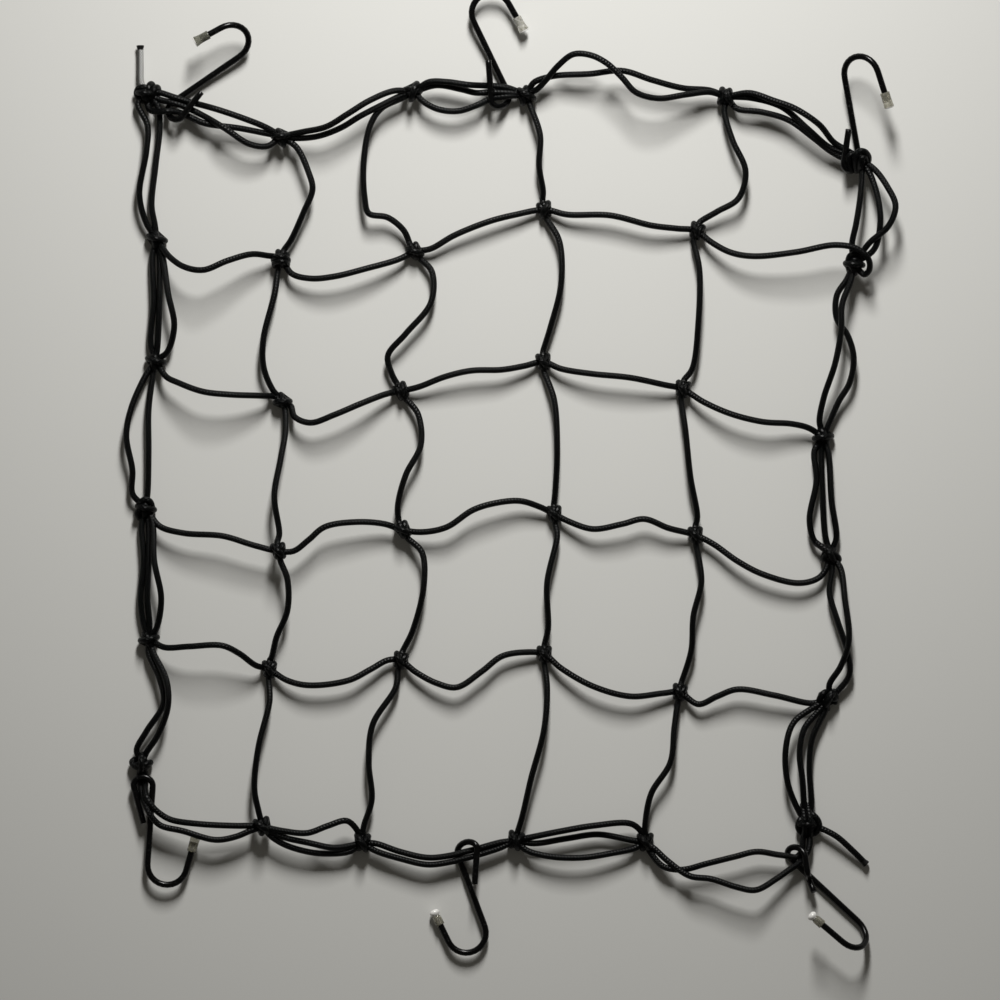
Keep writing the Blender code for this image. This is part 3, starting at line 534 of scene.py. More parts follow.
class TubeMesh:
    """Round tubes gathered into one mesh, with a UV layer that runs round and along."""

    def __init__(self, sides: int) -> None:
        """Start an empty mesh.

        Args:
            sides: How many sides its tubes have.
        """
        self.sides = sides
        self.points: list[np.ndarray] = []
        self.faces: list[tuple[int, ...]] = []
        self.marks: list[tuple[float, float]] = []
        self.count = 0

    def add(self, route: Sequence[Vector], radii: Sequence[float], offset: float = 0.0) -> None:
        """Add one closed tube.

        Args:
            route: The middle line, in mm.
            radii: The radius at each of its points, in mm.
            offset: Where its lengthwise marks start, so that no two look alike.
        """
        line = np.array([tuple(point) for point in route])
        steps = np.diff(line, axis=0)
        lengths = np.linalg.norm(steps, axis=1)
        ahead = steps / lengths[:, None]
        tangents = np.vstack([ahead[:1], ahead[:-1] + ahead[1:], ahead[-1:]])
        tangents /= np.linalg.norm(tangents, axis=1)[:, None]
        across = np.cross(tangents[0], (0.0, 0.0, 1.0))
        if np.linalg.norm(across) < UPRIGHT:
            across = np.cross(tangents[0], (0.0, 1.0, 0.0))
        across /= np.linalg.norm(across)
        angles = np.arange(self.sides) * 2 * math.pi / self.sides
        rings = []
        for point, tangent, radius in zip(line, tangents, radii):
            across = across - tangent * np.dot(across, tangent)
            across /= np.linalg.norm(across)
            up = np.cross(across, tangent)
            ring = np.outer(np.cos(angles), across) + np.outer(np.sin(angles), up)
            rings.append(point + ring * radius)
        first = self.count
        self.points.append(np.vstack([*rings, line[:1], line[-1:]]))
        self.count += len(line) * self.sides + 2
        along = offset + np.concatenate([[0.0], np.cumsum(lengths)]) / (2 * math.pi * CORD_RADIUS)
        self._cover(first, len(line), along)

    def _cover(self, first: int, rings: int, along: np.ndarray) -> None:
        """Add the faces of a tube, and their marks.

        Args:
            first: The number of its first point.
            rings: How many rings of points it has; the middles of its ends follow them.
            along: The lengthwise mark of each ring.
        """
        sides = self.sides
        for ring in range(rings - 1):
            base, above = first + ring * sides, first + (ring + 1) * sides
            low, high = along[ring], along[ring + 1]
            for side in range(sides):
                after = (side + 1) % sides
                self.faces.append((base + side, base + after, above + after, above + side))
                left, right = side / sides, (side + 1) / sides
                self.marks += [(left, low), (right, low), (right, high), (left, high)]
        start, end = first + rings * sides, first + rings * sides + 1
        last = first + (rings - 1) * sides
        for side in range(sides):
            after = (side + 1) % sides
            left, right = side / sides, (side + 1) / sides
            self.faces.append((first + after, first + side, start))
            self.marks += [(right, along[0]), (left, along[0]), (left, along[0])]
            self.faces.append((last + side, last + after, end))
            self.marks += [(left, along[-1]), (right, along[-1]), (right, along[-1])]

    def build(self, name: str, material: Material) -> Object:
        """Make the object, in metres, with smooth faces.

        Args:
            name: The name of the mesh and of the object.
            material: The finish of its faces.

        Returns:
            The object, linked to the scene.
        """
        mesh = bpy.data.meshes.new(name)
        mesh.from_pydata((np.vstack(self.points) * MM).tolist(), [], self.faces)
        layer = mesh.uv_layers.new(name=BRAID_LAYER)
        layer.data.foreach_set("uv", np.array(self.marks, np.float32).ravel())
        mesh.materials.append(material)
        mesh.shade_smooth()
        mesh.set_sharp_from_angle(angle=math.radians(SHARP_EDGE))
        return show(mesh)


def show(mesh: Mesh) -> Object:
    """The mesh as an object of the same name, linked to the scene."""
    made = bpy.data.objects.new(mesh.name, mesh)
    bpy.context.scene.collection.objects.link(made)
    return made


@dataclass(frozen=True)
class Hitch:
    """A hitch set down in its place.

    middle is the middle of the tied cord in mm, and facing the direction (degrees)
    that the tying cord comes in from. hand mirrors the hitch and size scales it.
    """

    middle: Vector
    facing: float
    hand: int
    size: float

    def points(self, rows: Iterable[Point]) -> list[Vector]:
        """Rows of the hitch's tables as points, none lower than a cord on the surface.

        Args:
            rows: The rows, in their order along the cord.

        Returns:
            Their points in the net, in mm.
        """
        turn = Matrix.Rotation(math.radians(self.facing - 90), 3, "Z")
        found = []
        for across, along, above in rows:
            point = self.middle + turn @ Vector((across * self.hand, along, above)) * self.size
            point.z = max(point.z, HITCH_CORD_RADIUS)
            found.append(point)
        return found


# Finishes.


@dataclass(frozen=True)
class Patches:
    """Patches of noise: scale in cycles per metre, none below low and full above high."""

    scale: float
    detail: float
    low: float
    high: float


@dataclass(frozen=True)
class Sheen:
    """An uneven roughness: least, and up to spread more by a noise of this scale."""

    scale: float
    detail: float
    spread: float
    least: float


@dataclass(frozen=True)
class Relief:
    """Fine unevenness by a noise of this scale: its depth in metres, and its strength."""

    scale: float
    detail: float
    depth: float
    strength: float


class Shades:
    """A node tree under construction: short ways to add and join its nodes."""

    def __init__(self, name: str, **values: float | Colour) -> None:
        """Start a material with its Principled shader.

        Args:
            name: The material's name.
            values: What the shader's sockets are set to, by name, with _ for a space.
        """
        self.material = bpy.data.materials.new(name)
        self.material.use_nodes = True
        self.tree = self.material.node_tree
        self.shader = self.tree.nodes["Principled BSDF"]
        for socket, value in values.items():
            self.shader.inputs[socket.replace("_", " ")].default_value = value

    def feed(self, socket: NodeSocket, value: object) -> None:
        """Join a socket to another's output, or set it to a value.

        Args:
            socket: The socket.
            value: Another node's output, or a number or a colour.
        """
        if isinstance(value, NodeSocket):
            self.tree.links.new(value, socket)
        else:
            socket.default_value = value

    def paint(self, colour: NodeSocket) -> None:
        """Give the shader its colour."""
        self.feed(self.shader.inputs["Base Color"], colour)

    def math(self, operation: str, *values: object) -> NodeSocket:
        """A sum on values.

        Args:
            operation: The name of the Math node's operation.
            values: What goes in, as outputs or numbers.

        Returns:
            The node's output.
        """
        node = self.tree.nodes.new("ShaderNodeMath")
        node.operation = operation
        for socket, value in zip(node.inputs, values):
            self.feed(socket, value)
        return node.outputs[0]

    def split(self, source: NodeSocket) -> NodeOutputs:
        """The X, Y and Z of a place."""
        node = self.tree.nodes.new("ShaderNodeSeparateXYZ")
        self.feed(node.inputs[0], source)
        return node.outputs

    def own_place(self) -> NodeSocket:
        """The object's own coordinates, in metres."""
        return self.tree.nodes.new("ShaderNodeTexCoord").outputs["Object"]

    def noise(self, scale: float, detail: float) -> NodeSocket:
        """Noise over the object's own coordinates.

        Args:
            scale: In cycles per metre.
            detail: How many finer layers it has.

        Returns:
            The noise, about 0 to 1.
        """
        node = self.tree.nodes.new("ShaderNodeTexNoise")
        self.feed(node.inputs["Vector"], self.own_place())
        self.feed(node.inputs["Scale"], scale)
        self.feed(node.inputs["Detail"], detail)
        return node.outputs["Fac"]

    def ramp(self, value: object, low: float, high: float) -> NodeSocket:
        """A value brought from low..high to 0..1, and held there.

        Args:
            value: The value, as an output.
            low: What becomes 0.
            high: What becomes 1.

        Returns:
            The new value.
        """
        node = self.tree.nodes.new("ShaderNodeMapRange")
        self.feed(node.inputs["Value"], value)
        self.feed(node.inputs["From Min"], low)
        self.feed(node.inputs["From Max"], high)
        return node.outputs["Result"]

    def blend(self, share: object, one: object, other: object) -> NodeSocket:
        """A colour between two.

        Args:
            share: 0 for the one and 1 for the other.
            one: A colour, or an output.
            other: The same.

        Returns:
            The colour.
        """
        node = self.tree.nodes.new("ShaderNodeMix")
        node.data_type = "RGBA"
        self.feed(node.inputs["Factor"], share)
        self.feed(node.inputs["A"], one)
        self.feed(node.inputs["B"], other)
        return node.outputs["Result"]

    def bump(self, height: object, depth: float, strength: float) -> None:
        """Raise the surface.

        Args:
            height: Where it rises, from 0 to 1.
            depth: How far, in metres.
            strength: How strongly it shows.
        """
        node = self.tree.nodes.new("ShaderNodeBump")
        self.feed(node.inputs["Distance"], depth)
        self.feed(node.inputs["Strength"], strength)
        self.feed(node.inputs["Height"], height)
        self.feed(self.shader.inputs["Normal"], node.outputs["Normal"])

    def roughen(self, value: NodeSocket, spread: float, least: float) -> None:
        """Make the roughness least where a value is 0, and spread more where it is 1."""
        rough = self.math("ADD", self.math("MULTIPLY", value, spread), least)
        self.feed(self.shader.inputs["Roughness"], rough)

    def patches(self, patches: Patches) -> NodeSocket:
        """Where the patches are, from 0 to 1."""
        return self.ramp(self.noise(patches.scale, patches.detail), patches.low, patches.high)

    def shine(self, sheen: Sheen) -> None:
        """Give the shader an uneven roughness."""
        self.roughen(self.noise(sheen.scale, sheen.detail), sheen.spread, sheen.least)

    def finished(self, relief: Relief) -> Material:
        """The material, once its surface has its fine unevenness."""
        self.bump(self.noise(relief.scale, relief.detail), relief.depth, relief.strength)
        return self.material


@dataclass(frozen=True)
class BraidedCord:
    """The woven cover of the elastic cord, with painted shade in the grooves of its braid.

    carriers is how many stitches go round the cord, and stitch how many lie along it in
    the width of one of those. swell is how far a stitch falls toward its ends, and depth
    its height in metres. Where shaded_from and shaded_to (x in metres) are set, one side
    of the cord is painted shade up to the one, and none is painted from the other.
    """

    name: str = "braided_cord"
    # Painted shade: the colour that the braid falls to in the grooves between its stitches.
    painted_shade: Colour = (0.0004, 0.0004, 0.0004, 1.0)
    crown: Colour = (0.0021, 0.0024, 0.0025, 1.0)
    lint: Colour = (0.12, 0.12, 0.115, 1.0)
    lint_amount: float = 0.3
    worn: Patches = Patches(55.0, 3.0, 0.42, 0.72)
    fibres: Patches = Patches(1500.0, 4.0, 0.6, 0.8)
    sheen: Sheen = Sheen(400.0, 2.0, 0.2, 0.24)
    specular: float = 0.13
    carriers: int = 8
    stitch: float = 0.8
    swell: float = 0.45
    depth: float = 0.00016
    strength: float = 0.9
    fuzz: tuple[float, float] = (5200.0, 3.0)
    fuzz_share: float = 0.35
    # Painted shade on one side of the cord: the x limits, in metres, where it fades out.
    shaded_from: float | None = None
    shaded_to: float | None = None

    def _stitch(self, shades: Shades, across: NodeSocket, along: NodeSocket) -> NodeSocket:
        """The height of a rounded stitch, a little lower toward its ends."""
        swell = shades.math("ADD", shades.math("MULTIPLY", along, self.swell), 1 - self.swell)
        return shades.math("MULTIPLY", shades.math("SQRT", across), swell)

    def _weave(self, shades: Shades) -> NodeSocket:
        """The height of the braid: stitches that pass over and under each other.

        Args:
            shades: The material.

        Returns:
            The height, from 0 to 1.
        """
        marks = shades.tree.nodes.new("ShaderNodeUVMap")
        marks.uv_map = BRAID_LAYER
        places = shades.split(marks.outputs["UV"])
        around = shades.math("MULTIPLY", places["X"], float(self.carriers))
        along = shades.math("MULTIPLY", places["Y"], self.carriers * self.stitch)
        ways = [shades.math("ADD", around, along), shades.math("SUBTRACT", around, along)]
        crowns = []
        for way in ways:
            # The height across a strip, which is 1 in its middle.
            part = shades.math("FRACT", way)
            rest = shades.math("SUBTRACT", 1.0, part)
            crowns.append(shades.math("MULTIPLY", shades.math("MULTIPLY", part, rest), 4.0))
        cells = shades.math("ADD", *(shades.math("FLOOR", way) for way in ways))
        over = shades.math("PINGPONG", cells, 1.0)
        first = self._stitch(shades, crowns[0], crowns[1])
        second = self._stitch(shades, crowns[1], crowns[0])
        gap = shades.math("SUBTRACT", second, first)
        return shades.math("ADD", first, shades.math("MULTIPLY", gap, over))

    def make(self) -> Material:
        """Make the material: a braid with fibres along it, some lint and painted shade.

        Returns:
            The material.
        """
        shades = Shades(self.name, Specular_IOR_Level=self.specular)
        weave = self._weave(shades)
        lint = shades.math("MULTIPLY", shades.patches(self.worn), self.lint_amount)
        specks = shades.math("MULTIPLY", shades.patches(self.fibres), lint)
        specks = shades.math("MULTIPLY", specks, weave)
        # Painted shade: darker where the weave is low, in the grooves between stitches.
        base = shades.blend(weave, self.painted_shade, self.crown)
        colour = shades.blend(specks, base, self.lint)
        # Painted shade: one side of the cord, up to an x limit, takes the shade colour.
        if self.shaded_from is not None:
            place_x = shades.split(shades.own_place())["X"]
            unshaded = shades.ramp(place_x, self.shaded_from, self.shaded_to)
            colour = shades.blend(unshaded, self.painted_shade, colour)
        shades.paint(colour)
        shades.shine(self.sheen)
        fuzz = shades.math("MULTIPLY", shades.noise(*self.fuzz), self.fuzz_share)
        shades.bump(shades.math("ADD", weave, fuzz), self.depth, self.strength)
        return shades.material


@dataclass(frozen=True)
class CoatedWire:
    """Black plastic over the hook's wire: smooth and glossy, a little scuffed."""

    colour: Colour = (0.0015, 0.0015, 0.0016, 1.0)
    scuff: Colour = (0.02, 0.02, 0.02, 1.0)
    scuffs: Patches = Patches(900.0, 5.0, 0.6, 0.75)
    sheen: Sheen = Sheen(260.0, 4.0, 0.22, 0.13)
    relief: Relief = Relief(420.0, 2.0, 0.00012, 0.35)
    specular: float = 0.4
    ior: float = 1.35

    def make(self) -> Material:
        """Make the material, with its scuffs.

        Returns:
            The material.
        """
        shades = Shades("coated_wire", Specular_IOR_Level=self.specular, IOR=self.ior)
        shades.paint(shades.blend(shades.patches(self.scuffs), self.colour, self.scuff))
        shades.shine(self.sheen)
        return shades.finished(self.relief)


@dataclass(frozen=True)
class BareSteel:
    """The plated wire that shows through a clear cap."""

    colour: Colour = (0.55, 0.54, 0.52, 1.0)
    sheen: Sheen = Sheen(1500.0, 3.0, 0.3, 0.15)
    relief: Relief = Relief(2600.0, 2.0, 0.00005, 0.4)

    def make(self) -> Material:
        """Make the material.

        Returns:
            The material.
        """
        shades = Shades("bare_steel", Base_Color=self.colour, Metallic=1.0)
        shades.shine(self.sheen)
        return shades.finished(self.relief)


@dataclass(frozen=True)
class MeltedTip:
    """The end of a cord's cover where heat has fused it: dark, hard and uneven."""

    colour: Colour = (0.004, 0.004, 0.0042, 1.0)
    specular: float = 0.3
    sheen: Sheen = Sheen(900.0, 3.0, 0.3, 0.25)
    relief: Relief = Relief(1600.0, 3.0, 0.0002, 0.7)

    def make(self) -> Material:
        """Make the material.

        Returns:
            The material.
        """
        shades = Shades("melted_tip", Base_Color=self.colour, Specular_IOR_Level=self.specular)
        shades.shine(self.sheen)
        return shades.finished(self.relief)


@dataclass(frozen=True)
class CapVinyl:
    """The soft clear cap on a hook's tip, a little cloudy."""

    name: str
    thin: Colour
    cloudy: Colour
    clearness: float
    clouds: Patches = Patches(700.0, 4.0, 0.35, 0.7)
    relief: Relief = Relief(700.0, 1.0, 0.0001, 0.3)
    spread: float = 0.14
    least: float = 0.06
    specular: float = 0.6
    ior: float = 1.45

    def make(self) -> Material:
        """Make the material, rougher where it is cloudy.

        Returns:
            The material.
        """
        shades = Shades(self.name, Transmission_Weight=self.clearness, IOR=self.ior,
                        Specular_IOR_Level=self.specular)
        cloud = shades.patches(self.clouds)
        shades.paint(shades.blend(cloud, self.thin, self.cloudy))
        shades.roughen(cloud, self.spread, self.least)
        return shades.finished(self.relief)


@dataclass(frozen=True)
class PaleFloor:
    """A plain pale surface."""

    colour: Colour = (0.66, 0.66, 0.64, 1.0)
    roughness: float = 0.9
    specular: float = 0.05

    def make(self) -> Material:
        """Make the material."""
        return Shades("pale_floor", Base_Color=self.colour, Roughness=self.roughness,
                      Specular_IOR_Level=self.specular).material


DULL_VINYL = CapVinyl("dull_vinyl", (0.3, 0.3, 0.25, 1.0), (0.14, 0.14, 0.11, 1.0), 0.7)
AGED_VINYL = CapVinyl("aged_vinyl", (0.6, 0.58, 0.5, 1.0), (0.36, 0.35, 0.28, 1.0), 0.75)
BRIGHT_VINYL = CapVinyl("bright_vinyl", (0.86, 0.85, 0.8, 1.0), (0.34, 0.33, 0.27, 1.0), 0.6)
# The caps' closed ends: milky vinyl, and whiter still as painted highlight for the light they
# catch.
MILKY_HIGHLIGHT_VINYL = CapVinyl("milky_highlight_vinyl", (0.97, 0.96, 0.94, 1.0), (0.9, 0.89, 0.86, 1.0), 0.12)
# Each cap's sleeve, in the order of the hooks; every cap's closed end is milky, whitened in part
# as painted highlight.
SLEEVES = (DULL_VINYL, BRIGHT_VINYL, AGED_VINYL, AGED_VINYL, AGED_VINYL, AGED_VINYL)
# The cover of the one cut end that is worn grey.
WORN_END = "cut_end_1"
WORN_CORD = BraidedCord(
    name="worn_cord",
    # Painted shade in the braid's grooves.
    painted_shade=(0.05, 0.05, 0.05, 1.0),
    crown=(0.5, 0.5, 0.49, 1.0),
    lint=(0.75, 0.75, 0.74, 1.0),
    lint_amount=1.0,
    # Painted shade on the left side of this cut end.
    shaded_from=-0.2079,
    shaded_to=-0.2065,
)


# Sub-assemblies.


@dataclass
class Cords:
    """What the cords of the mesh and of the border share; sizes in mm.

    tight and loose are the spacing of a cord's points, and steps is how finely its
    curve is drawn. braid_step and knot_step set where the braid of each cord and of
    each knot's turns begins, so that no two look alike.
    """

    name: str
    node: str
    hitch_size: float
    braid_step: float
    knot_step: float = 0.1
    sides: int = 14
    radius: float = CORD_RADIUS
    tight: float = 0.6
    loose: float = 1.5
    steps: int = 24

    def lay(self, tubes: TubeMesh, points: Sequence[Vector], offset: float) -> None:
        """Add one cord through points to a mesh, its braid starting at offset."""
        route = spaced(smooth_route(points, self.steps), self.tight, self.loose)
        tubes.add(route, [self.radius] * len(route), offset)

    def lay_turns(self, tubes: TubeMesh, edge: bool) -> None:
        """Add the further turns of the knots.

        Args:
            tubes: The mesh that they go into.
            edge: Whether those of the border's knots, or those of the mesh's.
        """
        for name, turns in KNOT_TURNS.items():
            if on_edge(name) is edge:
                for turn in turns:
                    points = [place(*point) for point in turn]
                    self.lay(tubes, points, points[0].x * self.knot_step)


@dataclass
class InnerCords(Cords):
    """The eight cords of the mesh, each whole from border to border.

    over_height is how far a cord that passes through a hitch is raised in it.
    """

    name: str = "mesh_cords_braided"
    node: str = "mesh_cords"
    hitch_size: float = 0.92
    braid_step: float = 0.37
    over_height: float = 0.3

    def _run(self, start: str, end: str) -> list[Vector]:
        """The points between two knots that a strand joins."""
        ends = (start, end)
        return strand_points(next(s for s in MESH_STRANDS if (s.start, s.end) == ends))

    def _names(self, line: str, tier: Tier) -> list[str]:
        """The knots on a row or a column, in order."""
        if tier is Tier.ROW:
            return [column + line for column in COLUMNS]
        return [line + row for row in ROWS]

    def _tied(self, name: str, before: Vector, after: Vector) -> list[Vector]:
        """The cord's points where it makes a knot's turns.

        Args:
            name: The knot.
            before: The cord's last point before it.
            after: The first point after it.

        Returns:
            The points, in order.
        """
        middle = knot_middle(name)
        inward = (before - middle).xy.normalized()
        onward = (middle - after).xy.normalized()
        facing = math.degrees(math.atan2(*(inward + onward).yx))
        hitch = Hitch(middle, facing, KNOTS[name].hand, self.hitch_size)
        return hitch.points([*HITCH_IN, *HITCH_TURNS, *HITCH_OUT])

    def route(self, line: str, tier: Tier) -> list[Vector]:
        """The points of one cord, from inside one border knot to inside the other.

        Args:
            line: The letter of its column, or the number of its row.
            tier: Which of the two it is.

        Returns:
            The points, in order.
        """
        names = self._names(line, tier)
        runs = [self._run(start, end) for start, end in zip(names, names[1:])]
        points = [entry(names[0], runs[0][0]), *runs[0]]
        for name, run in zip(names[1:], runs[1:]):
            if KNOTS[name].tier is tier:
                points += self._tied(name, points[-1], run[0])
            else:
                points.append(knot_middle(name) + Vector((0.0, 0.0, self.over_height)))
            points += run
        return [*points, entry(names[-1], points[-1])]

    def build(self, material: Material) -> Object:
        """Make the cords and let them stand for their solid.

        Args:
            material: The cord's finish.

        Returns:
            The piece.
        """
        tubes = TubeMesh(self.sides)
        cords = [(row, Tier.ROW) for row in ROWS[1:-1]]
        cords += [(column, Tier.COLUMN) for column in COLUMNS[1:-1]]
        for index, (line, tier) in enumerate(cords):
            self.lay(tubes, self.route(line, tier), index * self.braid_step)
        self.lay_turns(tubes, edge=False)
        made = tubes.build(self.name, material)
        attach(made, BODY)
        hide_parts(self.node)
        return made


@dataclass
class BorderCords(Cords):
    """The doubled and tripled border cords, with the hitches that bind them."""

    name: str = "border_cords_braided"
    node: str = "border_cords"
    hitch_size: float = 1.08
    braid_step: float = 0.29

    def _facing(self, name: str) -> float:
        """The direction that the tying cord comes in from at a border knot.

        Args:
            name: The knot.

        Returns:
            The direction, in degrees.
        """
        middle = knot_middle(name)
        for strand in MESH_STRANDS:
            if strand.start == name:
                return direction(middle, strand_points(strand)[0])
            if strand.end == name:
                return direction(middle, strand_points(strand)[-1])
        return CORNER_FACING[name]

    def build(self, material: Material) -> Object:
        """Make the cords and hitches and let them stand for their solid.

        Args:
            material: The cord's finish.

        Returns:
            The piece.
        """
        tubes = TubeMesh(self.sides)
        for index, strand in enumerate(BORDER_STRANDS):
            points = strand_points(strand)
            whole = [entry(strand.start, points[0]), *points, entry(strand.end, points[-1])]
            self.lay(tubes, whole, index * self.braid_step)
        for name, knot in KNOTS.items():
            if on_edge(name):
                hitch = Hitch(knot_middle(name), self._facing(name), knot.hand, self.hitch_size)
                turns = hitch.points([HITCH_IN[1], *HITCH_TURNS, HITCH_TAIL])
                self.lay(tubes, turns, knot.x * self.knot_step)
        self.lay_turns(tubes, edge=True)
        made = tubes.build(self.name, material)
        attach(made, BODY)
        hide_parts(self.node)
        return made


@dataclass
class CutEnd:
    """A free cord end, flared where it was cut; sizes in mm."""

    node: str
    sides: int = 16
    radius: float = CORD_RADIUS
    flare: float = 0.42
    flare_length: float = 1.7
    fused_length: float = 1.5
    tight: float = 0.4
    loose: float = 0.6
    steps: int = 30

    def _radii(self, route: Sequence[Vector]) -> list[float]:
        """The radius at each point, which grows toward the cut.

        Args:
            route: The cord's middle line, from its knot to the cut.

        Returns:
            The radii, in the same order.
        """
        left = 0.0
        radii = [self.radius + self.flare]
        for here, after in zip(route[::-1], route[::-1][1:]):
            left += (after - here).length
            share = max(0.0, 1 - left / self.flare_length)
            radii.append(self.radius + self.flare * math.sqrt(share))
        return radii[::-1]

    def build(self, cover: Material, tip: Material) -> Object:
        """Make the end, its last part fused, and let it stand for its solid.

        Args:
            cover: The cord's finish.
            tip: The finish of the fused part.

        Returns:
            The piece.
        """
        knot_name, via = CUT_ENDS[self.node]
        points = [knot_middle(knot_name), *(place(*point) for point in via)]
        route = spaced(smooth_route(points, self.steps), self.tight, self.loose)
        tubes = TubeMesh(self.sides)
        tubes.add(route, self._radii(route))
        made = tubes.build(f"{self.node}_braided", cover)
        made.data.materials.append(tip)
        for face in made.data.polygons:
            if (face.center - route[-1] * MM).length < self.fused_length * MM + self.radius * MM:
                face.material_index = 1
        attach(made, BODY)
        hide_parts(self.node)
        return made


@dataclass
class WireHook:
    """A hook bent from coated wire, with a clear cap on its tip; sizes in mm.

    arm_shares are the places of the arm's points, from the bend (1) to the cap (0).
    nose_length and nose_share round the short leg's end.
    """

    number: int
    tip: CapTip
    wire_radius: float = 1.76
    nose_length: float = 0.15
    nose_share: float = 0.88
    eye_depth: float = 5.0
    bend_radius: float = 11.0
    coating_overlap: float = 0.3
    arm_shares: tuple[float, ...] = (1.0, 0.66, 0.33)
    leg_steps: int = 5
    eye_steps: int = 12
    shaft_steps: int = 4
    bend_steps: int = 18
    steps: int = 12
    tight: float = 0.5
    loose: float = 2.5
    sides: int = 20
    cap_sides: int = 28

    @property
    def spot(self) -> HookPlace:
        """The hook's place."""
        return HOOKS[f"hook_{self.number}"]

    def _set_down(self, line: Iterable[Point | Vector]) -> list[Vector]:
        """Set the hook's own points down in their place.

        Args:
            line: Points across, along and above the shaft.

        Returns:
            The points in the net.
        """
        spot = self.spot
        roll = math.radians(spot.roll)
        heading = Matrix.Rotation(math.radians(spot.heading), 4, "Z")
        pitch = Matrix.Rotation(-math.radians(spot.pitch), 4, "Y")
        move = Matrix.Translation(place(spot.x, spot.y, spot.height)) @ heading @ pitch
        placed = []
        for across, along, above in line:
            if across > 0:
                above = across * math.sin(roll)
                across = across * math.cos(roll)
            placed.append(move @ Vector((along, spot.side * across, above)))
        return placed

    def _eye(self) -> list[Vector]:
        """The middle line of the eye.

        Returns:
            Its points, from the leg's side to the shaft's.
        """
        spot = self.spot
        half = spot.eye_width / 2
        points = []
        for step in range(self.eye_steps + 1):
            angle = math.pi * step / self.eye_steps
            share = (1 + math.cos(angle)) / 2
            swing = Matrix.Rotation(-math.radians(spot.eye_turn) * share, 2)
            loop = Vector((-half - half * math.cos(angle), -self.eye_depth * math.sin(angle)))
            points.append(Vector((*(swing @ loop), spot.leg_rise * share)))
        return points

    def _bend_point(self, share: float) -> Point:
        """The point this share of the way round the bend."""
        angle = (math.pi - math.radians(self.spot.lean)) * share
        across = self.bend_radius * (1 - math.cos(angle))
        return across, self.spot.shaft + self.bend_radius * math.sin(angle), 0.0

    def _arm(self, past_mouth: float) -> Vector:
        """A point of the arm.

        Args:
            past_mouth: How far past the mouth of the cap it lies, in mm.

        Returns:
            The point in the net.
        """
        lean = math.radians(self.spot.lean)
        run = self.spot.arm + past_mouth
        across, along, above = self._bend_point(1.0)
        point = (across + run * math.sin(lean), along - run * math.cos(lean), above)
        return self._set_down([point])[0]

    def _line(self) -> list[Vector]:
        """The middle line of the coated wire.

        Returns:
            Its points in the net, from the short leg's end to inside the cap.
        """
        spot = self.spot
        eye = self._eye()
        leg_end = Vector((spot.leg_end, eye[0].y + spot.leg, spot.leg_rise))
        line = [leg_end.lerp(eye[0], step / self.leg_steps) for step in range(self.leg_steps)]
        line += eye
        for step in range(1, self.shaft_steps):
            line.append((0.0, spot.shaft * step / self.shaft_steps, 0.0))
        line += [self._bend_point(step / self.bend_steps) for step in range(self.bend_steps)]
        arm = [self._arm(-spot.arm * share) for share in self.arm_shares]
        return [*self._set_down(line), *arm, self._arm(self.coating_overlap)]

    def build_wire(self, coating: Material, steel: Material) -> Object:
        """Make the wire, bare inside its cap, and let it stand for its solid.

        Args:
            coating: The finish of the wire.
            steel: The finish of its bare end.

        Returns:
            The piece.
        """
        route = spaced(smooth_route(self._line(), self.steps), self.tight, self.loose)
        nose = route[0] - (route[1] - route[0]).normalized() * self.nose_length
        radii = [self.wire_radius * self.nose_share] + [self.wire_radius] * len(route)
        tubes = TubeMesh(self.sides)
        tubes.add([nose, *route], radii)
        coated = len(tubes.faces)
        tubes.add([self._arm(past) for _, past in CAP_CORE], [radius for radius, _ in CAP_CORE])
        made = tubes.build(f"hook_{self.number}_wire", coating)
        made.data.materials.append(steel)
        for face in made.data.polygons[coated:]:
            face.material_index = 1
        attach(made, BODY)
        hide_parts(f"hook_{self.number}")
        return made

    def _cap_mesh(self, mouth: Vector, axis: Vector) -> Mesh:
        """Turn the cap's outline round the wire.

        Args:
            mouth: The middle of the cap's mouth.
            axis: The direction from there to the closed end.

        Returns:
            The mesh, in metres.
        """
        turn = axis.to_track_quat("Z", "Y").to_matrix()
        outline = [*CAP_BORE, *CAP_OUTLINES[self.tip]]
        points, faces = [], []
        for radius, along in outline:
            for side in range(self.cap_sides):
                angle = 2 * math.pi * side / self.cap_sides
                local = Vector((radius * math.cos(angle), radius * math.sin(angle), along))
                points.append(tuple((mouth + turn @ local) * MM))
        for ring in range(len(outline) - 1):
            base, above = ring * self.cap_sides, (ring + 1) * self.cap_sides
            for side in range(self.cap_sides):
                after = (side + 1) % self.cap_sides
                faces.append((base + side, above + side, above + after, base + after))
        mesh = bpy.data.meshes.new(f"hook_cap_{self.number}_clear")
        mesh.from_pydata(points, [], faces)
        form = bmesh.new()
        form.from_mesh(mesh)
        bmesh.ops.remove_doubles(form, verts=form.verts, dist=WELD)
        bmesh.ops.recalc_face_normals(form, faces=form.faces)
        form.to_mesh(mesh)
        form.free()
        mesh.shade_smooth()
        return mesh

    def build_cap(self, sleeve: Material, end: Material) -> Object:
        """Make the cap and let it stand for its solid.

        Args:
            sleeve: The finish of its sleeve.
            end: The finish of its closed end.

        Returns:
            The piece.
        """
        mouth = self._arm(0.0)
        axis = (self._arm(1.0) - mouth).normalized()
        mesh = self._cap_mesh(mouth, axis)
        mesh.materials.append(sleeve)
        mesh.materials.append(end)
        border = mouth + axis * CAP_ENDS[self.tip]
        for face in mesh.polygons:
            if (face.center - border * MM).dot(axis) > 0:
                face.material_index = 1
        made = show(mesh)
        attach(made, BODY)
        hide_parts(f"hook_cap_{self.number}")
        return made


